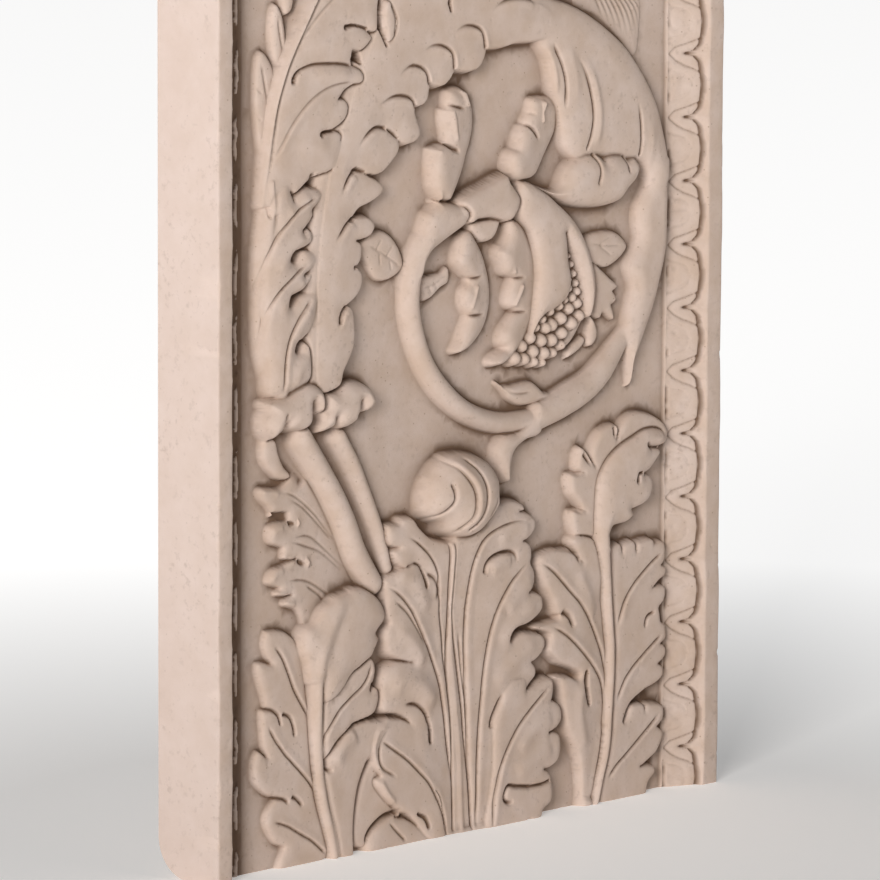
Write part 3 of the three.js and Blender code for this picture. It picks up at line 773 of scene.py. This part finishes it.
# %% Leaf before the middle one
def front_leaf():
    lobe([(372, -7), (373, 30), (377, 51), (378, 72), (378, 93), (383, 109), (390, 122), (400, 132),
          (411, 134), (421, 132), (423, 122), (423, 122), (435, 124), (449, 128), (459, 128),
          (461, 117), (459, 108), (459, 108), (470, 102), (473, 90), (467, 82), (457, 78), (457, 78),
          (469, 75), (472, 64), (469, 52), (461, 46), (450, 44), (450, 44), (457, 39), (459, 32),
          (461, 20), (457, 11), (447, 5), (437, -16)], 12.5, 17, 9, blend=4, seam=0)
    fold([(456, 124), (440, 113), (423, 101), (407, 87), (395, 72), (386, 57), (380, 39), (376, 21),
          (375, -5)], 4.5)
    crease([(376, 92), (377, 100), (383, 111), (391, 123)], 2, 6, (0.05, 0.3))
    crease([(427, 31), (408, 34), (397, 36), (391, 30), (391, 24), (397, 20), (403, 21)],
           1.8, 6, (0.02, 0.1))
    crease([(425, 31), (444, 31), (457, 33)], 1.6, 5, (0.02, 0.02))
    crease([(458, 92), (433, 86), (409, 68)], 8, -2.5)
    crease([(458, 64), (434, 57), (406, 45)], 8, -2.5)


front_leaf()
print("front leaf carved")

# %% Leaf at the foot
def foot_leaf():
    lobe([(221, 92), (207, 71), (199, 49), (195, 10), (229, 6), (259, 29), (242, 50), (228, 73)], 6, 8.5, 6)
    lobe([(253, 32), (241, 40), (231, 49), (222, 59), (221, 65), (227, 68), (218, 79), (213, 94),
          (217, 109), (226, 117), (239, 120), (239, 119), (256, 116), (270, 109), (283, 99), (289, 74),
          (296, 51), (308, 32), (315, -4), (294, -1), (267, 25)], 11, 13.5, 9)
    fold([(224, 102), (241, 91), (261, 78), (278, 64), (292, 51), (304, 33), (311, 18), (314, 1)], 4)
    crease([(237, 114), (224, 111), (219, 106), (215, 94), (219, 79), (229, 67)], 3, -2.5)
    crease([(224, 64), (234, 50), (245, 39)], 3, -2.5)
    crease([(234, 109), (226, 101), (223, 90), (227, 76), (247, 64)], 1.4, 2.5)
    crease([(254, 31), (235, 29), (218, 20), (210, 8)], 2.4, 6, (0.02, 0.1))
    lobe([(211, 7), (220, 18), (236, 25), (252, 29), (248, 26), (265, 22), (285, 9), (295, -4),
          (248, -6), (227, -5), (215, -8)], 8, 12, 9)
    drill([(276, 26), (286, 21), (291, 12)], [1.4, 2.4, 2.6], 7)
    crease([(239, 23), (247, 15), (262, 2)], 1.3, 2.5)


foot_leaf()
print("foot leaf carved")

# %% Left leaf and its hood
def left_leaf():
    lobe([(84, 218), (102, 216), (114, 210), (121, 203), (127, 196), (131, 176), (138, 113), (144, 61),
          (162, 2), (103, -5), (100, 7), (106, 18), (93, 25), (83, 39), (81, 49), (86, 57), (94, 64),
          (94, 65), (79, 72), (67, 83), (65, 98), (68, 108), (74, 112), (83, 104), (83, 104),
          (79, 114), (77, 129), (76, 146), (81, 148), (81, 149), (79, 158), (72, 175), (70, 190),
          (88, 188), (88, 188), (82, 197), (79, 207), (81, 215)], 4, 7.5, 9)
    for cut in ([(90, 204), (100, 192), (107, 179), (115, 163), (124, 149), (136, 133)],
                [(82, 133), (91, 119), (104, 104), (117, 92), (133, 77), (144, 64)],
                [(90, 44), (107, 38), (125, 28), (141, 19), (160, 4)]):
        fold(cut, 3.5)
    for cut in ([(75, 149), (88, 146), (96, 140), (99, 130)],
                [(101, 141), (111, 137), (116, 126), (117, 118)],
                [(68, 114), (77, 109), (83, 104)],
                [(89, 66), (103, 63), (109, 59)],
                [(113, 64), (120, 61), (127, 54)],
                [(77, 193), (88, 188)]):
        crease(cut, 1.5, 5, (0.02, 0.1))
    lobe([(214, 178), (219, 169), (217, 158), (213, 149), (221, 150), (224, 142), (221, 132),
          (215, 126), (199, 123), (189, 121), (178, 115), (167, 104), (157, 90), (150, 97), (147, 112),
          (147, 137), (157, 158), (178, 170), (199, 175)], 10, 14, 10)
    fold([(214, 175), (206, 161), (197, 153), (184, 146), (170, 137), (160, 127), (152, 117),
          (148, 106)], 3.5)
    lobe([(155, 87), (162, 99), (171, 108), (182, 115), (199, 119), (215, 120), (229, 117), (232, 101),
          (215, 88), (205, 75), (198, 63), (194, 47), (192, 29), (193, -3), (172, 0), (164, 31),
          (156, 59), (152, 78)], 10, 13, 9)
    crease([(163, 87), (173, 102), (192, 114)], 9, -4)
    crease([(177, 115), (162, 102), (155, 93), (156, 84), (163, 82)], 2.2, 6, (0.3, 0.1))
    crease([(212, 89), (204, 75), (198, 63), (194, 47), (192, 28), (193, -1)], 1.7, 4.5, (0.1, 0.02))
    drill([(214, 154), (213, 149)], [2.2, 1.6], 8)
    stem([(140, 189), (141, 163), (142, 140), (143, 116), (147, 79), (153, 52), (162, 25), (169, -1)],
         [7.5, 6.5, 6, 6, 5.8, 5.6, 5.4, 5.2], [20, 18, 16, 14, 13, 13, 13, 13], base=6, blend=3)
    lobe([(123, 205), (127, 214), (138, 219), (148, 230), (159, 236), (167, 240), (182, 242),
          (188, 244), (201, 243), (214, 237), (224, 228), (229, 217), (226, 210), (219, 204),
          (217, 201), (217, 201), (220, 195), (217, 189), (211, 180), (211, 180), (197, 174),
          (186, 170), (179, 165), (172, 157), (160, 149), (149, 148), (144, 167), (133, 165),
          (128, 184), (123, 196)], 12, 21, 24, blend=8)
    crease([(172, 238), (161, 226), (154, 216), (148, 206), (144, 195), (141, 183)], 7, -2)
    crease([(180, 231), (169, 220), (161, 208), (155, 194), (149, 178)], 8, 1.6)


left_leaf()
print("left leaf carved")

# %% Collars of the stalks
def collars():
    lobe([(143, 398), (146, 404), (145, 409), (150, 415), (153, 425), (166, 426), (180, 432),
          (195, 432), (206, 428), (214, 420), (216, 413), (211, 407), (205, 405), (200, 406),
          (199, 410), (197, 414), (197, 414), (196, 405), (191, 398), (182, 394), (172, 393),
          (166, 397), (164, 402), (164, 402), (162, 396), (153, 393), (143, 392), (143, 394)], 9, 21, 14)
    lobe([(71, 405), (71, 412), (75, 419), (74, 425), (94, 429), (111, 435), (122, 438), (133, 437),
          (143, 431), (147, 423), (147, 415), (144, 410), (138, 410), (135, 413), (135, 416),
          (132, 420), (132, 420), (132, 409), (129, 401), (122, 397), (111, 397), (101, 399),
          (97, 404), (97, 404), (91, 398), (82, 393), (77, 392), (79, 392), (73, 398)], 10, 24, 16, seam=1.2)
    crease([(70, 427), (71, 412), (72, 394)], 2, -1)
    crease([(92, 416), (92, 409), (92, 400)], 2, 7, (0.3, 0.02))
    crease([(124, 478), (129, 471), (131, 460), (131, 446), (127, 438)], 1.6, 5, (0.05, 0.1))
    crease([(129, 422), (128, 414), (130, 407)], 2, 6, (0.02, 0.1))
    crease([(164, 405), (162, 398)], 2, 5, (0.1, 0.02))
    crease([(195, 414), (194, 407), (190, 401)], 2, 5, (0.02, 0.1))


collars()
print("collars carved")

# %% Bud
def bud():
    lobe([(286, 300), (281, 307), (282, 318), (287, 330), (295, 340), (305, 348), (318, 353),
          (334, 353), (350, 350), (364, 344), (373, 336), (379, 326), (380, 313), (380, 301),
          (372, 291), (363, 284), (351, 277), (333, 275), (313, 282), (305, 292), (292, 297)], 8, 34, 34)
    crease([(303, 331), (306, 322), (305, 312), (299, 304), (291, 299), (282, 299)], 1.8, 5, (0.1, 0.1))
    crease([(271, 319), (272, 310), (278, 302), (287, 297), (295, 296)], 1.8, 4, (0.2, 0.1))
    crease([(299, 355), (313, 344), (323, 332), (330, 320), (332, 308), (330, 297), (324, 289),
            (317, 281)], 1.6, 3.5, (0.1, 0.05))
    crease([(309, 352), (323, 340), (332, 328), (336, 317), (336, 306), (333, 296), (324, 287)],
           4.5, -2.5, (0.1, 0.1))
    crease([(325, 352), (337, 341), (344, 330), (347, 317), (346, 303), (340, 291), (330, 282)],
           1.6, 3.5, (0.1, 0.05))
    crease([(366, 312), (364, 302), (359, 293)], 1.6, 4, (0.3, 0.05))
    crease([(285, 340), (281, 326), (283, 310)], 14, -2.5)


bud()
print("bud carved")

# %% [markdown]
# The stone was cast and then lived outside, so no edge is sharp. Each wall gets a little slope, as a
# chisel leaves it, and a light blur takes the edge off every cut.

# %% Soften the face
WALL_SLOPE = 3.2
EDGE_BLUR = 0.6


def sloped(a, slope):
    """Gives every wall a little slope by letting each point prop up its neighbours."""
    reach = 6
    n, m = a.shape
    wide = np.pad(a, reach, mode="edge")
    best = a
    for dz in range(-reach, reach + 1):
        for dx in range(-reach, reach + 1):
            drop = slope * STEP * math.hypot(dx, dz)
            best = np.maximum(best, wide[reach + dz:reach + dz + n, reach + dx:reach + dx + m] - drop)
    return best


relief = blur(sloped(relief, WALL_SLOPE), EDGE_BLUR)
print("face softened, walls fall", WALL_SLOPE, "mm in each mm")

# %% [markdown]
# Where the light hardly reaches, shade is painted into the colour of the stone: in thin cuts, more on slopes
# that face away from the lamp, on the side of deep cuts away from the lamp, in the drilled eyes, in the
# groove inside the left border as the shadow of the fillet, and over the wide hollows of the field, where
# some of it is soil. A faint film of real soil lies over the low ground of the field. Each kind is worked
# out from the relief, on the same grid, and they are added up.

# %% Where shade is painted and soil gathers
FIELD_START = FILLET + MOULDING
FIELD_END = WIDTH - FILLET - MOULDING
THIN_CUT = 1.7
DEEP_CUT = 6.0
WIDE_HOLLOW = 18

fall_z, fall_x = np.gradient(relief, STEP)
steep = np.hypot(fall_x, fall_z)
# Painted shade in thin cuts: stronger on slopes that face away from the lamp, weaker on steep walls.
climb = np.gradient(blur(relief, 2.2), STEP, axis=1)
shade_weight = np.clip(0.9 - 0.9 * climb, 0.12, 1.1) * np.exp(-(steep / 3.0)**2)
shade_weight = np.where(xs > FIELD_END, 0.65, shade_weight)
thin_cuts = np.clip(blur(relief, THIN_CUT) - relief - 0.12, 0, None) / 0.75
around = blur(relief, DEEP_CUT)
# Painted shade on the side of deep cuts that faces away from the lamp.
away_from_lamp = np.clip(0.7 - 1.5 * np.gradient(around, STEP, axis=1), 0, 1)
deep_cuts = np.clip(around - relief - 0.4, 0, None) * away_from_lamp / 5.5
hollow = blur(thin_cuts * shade_weight, 0.5) + deep_cuts
# Painted shade in the drilled eyes.
hollow += 0.9 * eyes * np.clip(around - relief, 0, 1)
# Painted shadow of the left fillet in the groove inside the left border.
past = xs - FIELD_START
groove = np.where(past < -3, np.clip((past + 20) / 4, 0, 1), np.exp(-np.clip(past + 3, 0, None) / 6))
hollow += groove[None, :] * (relief < 1.6) * (xs < WIDTH / 2)[None, :]
# A faint film of real soil over the low ground of the field.
film = np.clip(1 - relief / 7, 0, 1) * np.clip((FIELD_END - xs) / 6, 0, 1)[None, :]
hollow += 0.12 * film
# Painted shade, partly real soil, over the wide hollows of the field.
hollow += 0.045 * np.clip(blur(relief, WIDE_HOLLOW) - relief - 1.5, 0, 8)
print("grime on", round(100 * float((hollow > 0.2).mean())), "percent of the face")

# %% [markdown]
# Soft unevenness stops the flats from looking machined, small pits are the air bubbles of the cast,
# and the outer edges of the block are rubbed round and chipped here and there.

# %% Unevenness, pits and chips
PITS = 300
MARGIN = 4
LOWEST = -8
HIGHEST = 38

relief += 0.3 * unevenness(45) + 0.12 * unevenness(16)
pit_x = chance.uniform(MARGIN, WIDTH - MARGIN, PITS)
pit_z = chance.uniform(MARGIN, HEIGHT - MARGIN, PITS)
pit_size = chance.uniform(0.7, 1.5, PITS)
for x, z, r in zip(pit_x, pit_z, pit_size):
    window, _, _, away, _, _ = measure(np.array([(x, z), (x + 0.1, z)]), 3 * r)
    relief[window] -= 0.5 * r * np.exp(-(away / r)**2)

side = np.minimum(xs, WIDTH - xs)[None, :]
foot = np.minimum(zs, HEIGHT - zs)[:, None]
rim = np.minimum(side, foot)
chips = np.clip(unevenness(7) - 0.9, 0, None) + np.clip(unevenness(22) - 1.1, 0, None)
relief -= (1.0 + 1.5 * chips) * np.clip(1 - rim / (2.0 + 1.5 * chips), 0, 1)**2
relief = np.clip(relief, LOWEST, HIGHEST)
print("relief from", round(relief.min(), 1), "to", round(relief.max(), 1), "mm")

# %% [markdown]
# The face becomes a solid by folding one big grid round the block: its middle is the carved face, the
# next rows run down the four sides, and the last rows close in over the back. In the corners the
# folded rows fall on one another and are merged. The back is filled with one face. The lower corner at
# the back of the left side is worn round, and its points slide on to an arc.

# %% Fold the grid round the block
SIDE_ROWS = np.array([0.02, 0.05, 0.1, 0.18, 0.27, 0.36, 0.45, 0.54, 0.63, 0.72, 0.81, 0.9, 0.96, 1.0])
BACK_ROWS = np.array([0.004, 0.012, 0.03, 0.06, 0.1, 0.16])
folds = len(SIDE_ROWS) + len(BACK_ROWS)

columns = np.arange(-folds, len(xs) + folds)
rows = np.arange(-folds, len(zs) + folds)
over_x = np.maximum(np.maximum(-columns, columns - len(xs) + 1), 0)
over_z = np.maximum(np.maximum(-rows, rows - len(zs) + 1), 0)
level = np.maximum(over_x[None, :], over_z[:, None])
i = np.clip(columns, 0, len(xs) - 1)
j = np.clip(rows, 0, len(zs) - 1)

front = FIELD_Y - relief[np.ix_(j, i)]
down = np.concatenate([[0], SIDE_ROWS, np.ones(len(BACK_ROWS))])[level]
inward = np.concatenate([np.zeros(len(SIDE_ROWS) + 1), BACK_ROWS])[level]
px = np.broadcast_to(xs[i][None, :], level.shape)
pz = np.broadcast_to(zs[j][:, None], level.shape)
px = px + (WIDTH / 2 - px) * inward
pz = pz + (HEIGHT / 2 - pz) * inward
py = front + (BACK_Y - front) * down
print("grid of", len(columns), "by", len(rows), "points")

# %% Wear the lower corner at the back and make the mesh
WORN_CORNER = 36.0
WORN_LENGTH = 110.0
EDGE_ROUND = 1.5

radius = WORN_CORNER * np.clip(1 - px / WORN_LENGTH, 0, 1)**0.7 + EDGE_ROUND
dy = py - (BACK_Y - radius)
dz = radius - pz
reach = np.hypot(dy, dz)
corner = (dy > 0) & (dz > 0) & (reach > radius)
py = np.where(corner, BACK_Y - radius + dy * radius / np.maximum(reach, 1e-6), py)
pz = np.where(corner, radius - dz * radius / np.maximum(reach, 1e-6), pz)

bpy.ops.object.select_all(action="DESELECT")
bpy.ops.mesh.primitive_grid_add(x_subdivisions=len(columns) - 1, y_subdivisions=len(rows) - 1, size=1)
panel = bpy.context.object
panel.name = "carved_panel"
points = np.stack([px - WIDTH / 2, py, pz], axis=-1) / 1000
panel.data.vertices.foreach_set("co", points.reshape(-1))
panel.data.update()
print("folded grid", len(panel.data.vertices), "points")

# %% [markdown]
# The grid has far more points than its flat parts need, so a Decimate modifier thins it. Thinning must
# not smear the painted shade and soil over long triangles, so a vertex group says how freely each point
# may go: freely where they are even, hardly at all where they change quickly, and in between down the sides.
# A grain of a few thousandths of a millimetre is laid over the whole first, because on a perfectly
# flat face the modifier leaves slivers that show as streaks.

# %% Say where points may go
GRADES = 5
QUICK_CHANGE = 0.05

change = np.hypot(*np.gradient(blur(np.clip(hollow, 0, 1), 1.0), STEP))
stay = np.where(level == 0, np.clip(change[np.ix_(j, i)] / QUICK_CHANGE, 0.05, 1), 0.5)
grades = np.round(GRADES * stay).astype(int).reshape(-1)
free = panel.vertex_groups.new(name="free_to_go")
for grade in range(GRADES + 1):
    free.add(np.flatnonzero(grades == grade).tolist(), 1 - 0.19 * grade, "REPLACE")
print("points that stay", int((grades == GRADES).sum()))

# %% Close the back and thin the mesh
TRIANGLES = 190000
GRAIN = 4e-6

bpy.ops.object.mode_set(mode="EDIT")
bpy.ops.mesh.select_all(action="SELECT")
bpy.ops.mesh.remove_doubles(threshold=1e-6)
bpy.ops.mesh.select_all(action="DESELECT")
bpy.ops.mesh.select_mode(type="EDGE")
bpy.ops.mesh.select_non_manifold(extend=False, use_wire=False, use_multi_face=False,
                                 use_non_contiguous=False, use_verts=False)
bpy.ops.mesh.edge_face_add()
bpy.ops.mesh.select_all(action="SELECT")
bpy.ops.mesh.normals_make_consistent(inside=False)
bpy.ops.object.mode_set(mode="OBJECT")
co = np.empty(3 * len(panel.data.vertices))
panel.data.vertices.foreach_get("co", co)
panel.data.vertices.foreach_set("co", co + GRAIN * chance.standard_normal(len(co)))
panel.data.calc_loop_triangles()
thin = panel.modifiers.new("thin", "DECIMATE")
thin.ratio = TRIANGLES / len(panel.data.loop_triangles)
thin.vertex_group = free.name
thin.vertex_group_factor = 1.2e-7
bpy.ops.object.modifier_apply(modifier="thin")
bpy.ops.object.shade_smooth_by_angle(angle=math.radians(40))
panel.data.calc_loop_triangles()
print("panel has", len(panel.data.loop_triangles), "triangles")

# %% [markdown]
# The painted shade and soil were worked out on the grid of the carving, and the material has to find them
# on the thinned mesh. So they are read off the grid at each point of the mesh and written there as an
# attribute. Points well behind the carved face get none, so that the sides and the back stay plain.

# %% Write the painted shade and soil on the mesh
ON_FACE = 4

co = np.empty(3 * len(panel.data.vertices))
panel.data.vertices.foreach_get("co", co)
co = co.reshape(-1, 3) * 1000
gx = np.clip((co[:, 0] + WIDTH / 2) / STEP, 0, len(xs) - 1.001)
gz = np.clip(co[:, 2] / STEP, 0, len(zs) - 1.001)
left_of = gx.astype(int)
below = gz.astype(int)
part_x = gx - left_of
part_z = gz - below


def between(field):
    """The value of a field of the carving at every point of the mesh, read between its grid lines."""
    lower = field[below, left_of] * (1 - part_x) + field[below, left_of + 1] * part_x
    upper = field[below + 1, left_of] * (1 - part_x) + field[below + 1, left_of + 1] * part_x
    return lower * (1 - part_z) + upper * part_z


on_face = np.abs(co[:, 1] - (FIELD_Y - between(relief))) < ON_FACE
shade_and_soil = panel.data.attributes.new("shade_and_soil", "FLOAT", "POINT")
shade_and_soil.data.foreach_set("value", np.where(on_face, between(np.clip(hollow, 0, 1)), 0))
print("grime written on", int(on_face.sum()), "points")

# %% [markdown]
# Cast stone is cement with pale sand, set in a mould and left as it came out. To the eye it is quite
# matt and warm, softly mottled, with grit that catches the light, tiny brown specks and faint spots in
# patches. The colour is mixed in that order, and the painted shade of the cuts, with some real soil, goes on
# last.

# %% Colours and nodes
def linear(code):
    """An sRGB hex colour as linear red, green, blue and alpha."""
    parts = [int(code[k:k + 2], 16) / 255 for k in (1, 3, 5)]
    return [c / 12.92 if c <= 0.04045 else ((c + 0.055) / 1.055)**2.4 for c in parts] + [1.0]


def node(tree, kind, settings=(), links=()):
    """Adds a node, sets its properties or its inputs, and links other sockets to its inputs."""
    made = tree.nodes.new(kind)
    for key, value in dict(settings).items():
        if isinstance(key, str) and hasattr(made, key):
            setattr(made, key, value)
        else:
            made.inputs[key].default_value = value
    for key, socket in dict(links).items():
        tree.links.new(socket, made.inputs[key])
    return made


print("helpers for colours and nodes made")

# %% Cast stone patterns
# Sizes in millimetres. A texture's scale is how many of them go into a metre. The grit is drawn a
# little coarser than real sand, so that it shows.
MOTTLE = 111.1
CLOUD = 26.32
SPOT = 6.667
SPECK = 10.53
GRIT = 1.111

stone = bpy.data.materials.new("cast_stone")
stone.use_nodes = True
tree = stone.node_tree
place = node(tree, "ShaderNodeTexCoord").outputs["Object"]
mottle = node(tree, "ShaderNodeTexNoise", {"Scale": 1000 / MOTTLE, "Detail": 6.0, "Roughness": 0.6},
              {"Vector": place})
cloud = node(tree, "ShaderNodeTexNoise", {"Scale": 1000 / CLOUD, "Detail": 5.0, "Roughness": 0.65},
             {"Vector": place})
spots = node(tree, "ShaderNodeTexNoise", {"Scale": 1000 / SPOT, "Detail": 3.0, "Roughness": 0.6},
             {"Vector": place})
grit = node(tree, "ShaderNodeTexNoise", {"Scale": 1000 / GRIT, "Detail": 3.0, "Roughness": 0.7},
            {"Vector": place})
speck = node(tree, "ShaderNodeTexVoronoi", {"Scale": 1000 / SPECK}, {"Vector": place})
print("material", stone.name, "with", len(tree.nodes), "nodes so far")

# %% Cast stone colours
# In a colour Mix, input 0 is the factor, 6 and 7 are the colours, and output 2 is the mixed colour. In
# a Map Range, input 0 is the value, 1 and 2 are the old range, and 3 and 4 are the new one.
LEFT_SIDE = -WIDTH / 2000

warm = node(tree, "ShaderNodeValToRGB", {}, {"Fac": mottle.outputs["Fac"]})
tint = node(tree, "ShaderNodeValToRGB", {}, {"Fac": cloud.outputs["Fac"]})
for ramp, low, dark, high, pale in ((warm, 0.32, "#c9b1a0", 0.7, "#d8c4b8"),
                                    (tint, 0.35, "#c6af9c", 0.68, "#dac8bd")):
    ends = ramp.color_ramp.elements
    ends[0].position = low
    ends[0].color = linear(dark)
    ends[1].position = high
    ends[1].color = linear(pale)
body = node(tree, "ShaderNodeMix", {"data_type": "RGBA", 0: 0.5},
            {6: warm.outputs["Color"], 7: tint.outputs["Color"]})
dots = node(tree, "ShaderNodeMapRange", {1: 0.03, 2: 0.1, 3: 0.55, 4: 0.0},
            {0: speck.outputs["Distance"]})
dotted = node(tree, "ShaderNodeMix", {"data_type": "RGBA", 7: linear("#86684f")},
              {0: dots.outputs[0], 6: body.outputs[2]})

# The plain left side of the block is a little paler than the carved face.
across = node(tree, "ShaderNodeSeparateXYZ", {}, {0: place})
edge = node(tree, "ShaderNodeMapRange", {1: LEFT_SIDE + 0.0002, 2: LEFT_SIDE + 0.0022, 3: 0.5, 4: 0.0},
            {0: across.outputs["X"]})
paler = node(tree, "ShaderNodeMix", {"data_type": "RGBA", 7: linear("#e2d0c8")},
             {0: edge.outputs[0], 6: dotted.outputs[2]})

# The spots are stronger in some patches than in others.
patch = node(tree, "ShaderNodeMapRange", {1: 0.42, 2: 0.6, 3: 0.05, 4: 0.3},
             {0: mottle.outputs["Fac"]})
faint = node(tree, "ShaderNodeMapRange", {1: 0.57, 2: 0.73, 3: 0.0},
             {0: spots.outputs["Fac"], 4: patch.outputs[0]})
spotted = node(tree, "ShaderNodeMix", {"data_type": "RGBA", 7: linear("#8f7767")},
               {0: faint.outputs[0], 6: paler.outputs[2]})

# Painted shade of the cuts, eyes and hollows, with some real soil, mixed in as a dark brown.
cuts = node(tree, "ShaderNodeAttribute", {"attribute_name": "shade_and_soil"})
shade_and_soil_amount = node(tree, "ShaderNodeMapRange", {1: 0.05, 2: 1.0, 3: 0.0, 4: 0.9}, {0: cuts.outputs["Fac"]})
shade_and_soil_mixed = node(tree, "ShaderNodeMix", {"data_type": "RGBA", 7: linear("#60452f")},
              {0: shade_and_soil_amount.outputs[0], 6: spotted.outputs[2]})
print("stone colours mixed")

# %% Cast stone surface
shader = tree.nodes["Principled BSDF"]
shader.inputs["IOR"].default_value = 1.5
shader.inputs["Specular IOR Level"].default_value = 0.25
rough = node(tree, "ShaderNodeMath", {"operation": "MULTIPLY_ADD", 1: 0.35},
             {0: cloud.outputs["Fac"], 2: grit.outputs["Fac"]})
bump = node(tree, "ShaderNodeBump", {"Strength": 0.35, "Distance": 0.0006}, {"Height": rough.outputs[0]})
matt = node(tree, "ShaderNodeMapRange", {3: 0.84, 4: 0.96}, {0: cloud.outputs["Fac"]})
tree.links.new(shade_and_soil_mixed.outputs[2], shader.inputs["Base Color"])
tree.links.new(bump.outputs["Normal"], shader.inputs["Normal"])
tree.links.new(matt.outputs[0], shader.inputs["Roughness"])
panel.data.materials.append(stone)
print("material", stone.name, "with", len(tree.nodes), "nodes")

# %% Tie the panel to the frame
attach(panel, "root")
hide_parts("relief_panel")
print("the panel stands for", "relief_panel")

# %% [markdown]
# The studio is a pale floor under a nearly white sky. One big soft lamp stands to the left, a little
# above and in front, as in the photograph, where the left side is the brightest face. The floor glows
# a little, more with the distance from the panel, so that it meets the sky without a line.

# %% Floor
bpy.ops.object.select_all(action="DESELECT")
bpy.ops.mesh.primitive_plane_add(size=40, location=(0, 0, 0))
floor = bpy.context.object
floor.name = "floor"
paper = bpy.data.materials.new("matt_white_paper")
paper.use_nodes = True
sheet = paper.node_tree.nodes["Principled BSDF"]
sheet.inputs["Base Color"].default_value = linear("#f4f3f1")
sheet.inputs["Roughness"].default_value = 0.95
sheet.inputs["Emission Color"].default_value = linear("#ffffff")
spot = node(paper.node_tree, "ShaderNodeTexCoord").outputs["Object"]
far = node(paper.node_tree, "ShaderNodeVectorMath", {"operation": "LENGTH"}, {0: spot})
shine = node(paper.node_tree, "ShaderNodeMapRange", {1: 0.45, 2: 1.6, 3: 0.3, 4: 0.8},
             {0: far.outputs["Value"]})
paper.node_tree.links.new(shine.outputs[0], sheet.inputs["Emission Strength"])
floor.data.materials.append(paper)
print("floor of", paper.name)

# %% Sky and lamp
world = bpy.data.worlds.new("studio")
world.use_nodes = True
sky = world.node_tree
seen = node(sky, "ShaderNodeLightPath").outputs["Is Camera Ray"]
glow = node(sky, "ShaderNodeMapRange", {3: 0.1, 4: 1.0}, {0: seen})
sky.nodes["Background"].inputs["Color"].default_value = (1, 1, 1, 1)
sky.links.new(glow.outputs[0], sky.nodes["Background"].inputs["Strength"])
bpy.context.scene.world = world

lamp_data = bpy.data.lights.new("window_left", "AREA")
lamp_data.energy = 2190
lamp_data.size = 5.0
lamp_data.color = linear("#fffcfa")[:3]
lamp = bpy.data.objects.new("window_left", lamp_data)
bpy.context.collection.objects.link(lamp)
lamp.location = (-14.8, -7.9, 4.6)
lamp_aim = Vector((0, 0, 0.4))
lamp.rotation_euler = (lamp.location - lamp_aim).to_track_quat("Z", "Y").to_euler()
bpy.context.scene.view_settings.view_transform = "Standard"
print("sky and one lamp of", lamp_data.energy, "watts")

# %% [markdown]
# The camera was worked out from the slab's own corners in the photograph: a long lens about seven
# metres away, 48 degrees round to the left and a little above.

# %% Camera
EYE = (-5.2449, -4.7051, 1.3808)
YAW = 0.837758
PITCH = 0.143548
ROLL = 0.003849
LENS = 318.07

eye_data = bpy.data.cameras.new("camera")
eye_data.sensor_width = 36.0
eye_data.lens = LENS
eye_data.clip_end = 60
camera = bpy.data.objects.new("camera", eye_data)
bpy.context.collection.objects.link(camera)
turn = Matrix.Rotation(-YAW, 4, "Z") @ Matrix.Rotation(math.pi / 2 - PITCH, 4, "X")
camera.matrix_world = Matrix.Translation(EYE) @ turn @ Matrix.Rotation(ROLL, 4, "Z")
bpy.context.scene.camera = camera
print("camera at", [round(v, 3) for v in camera.location])
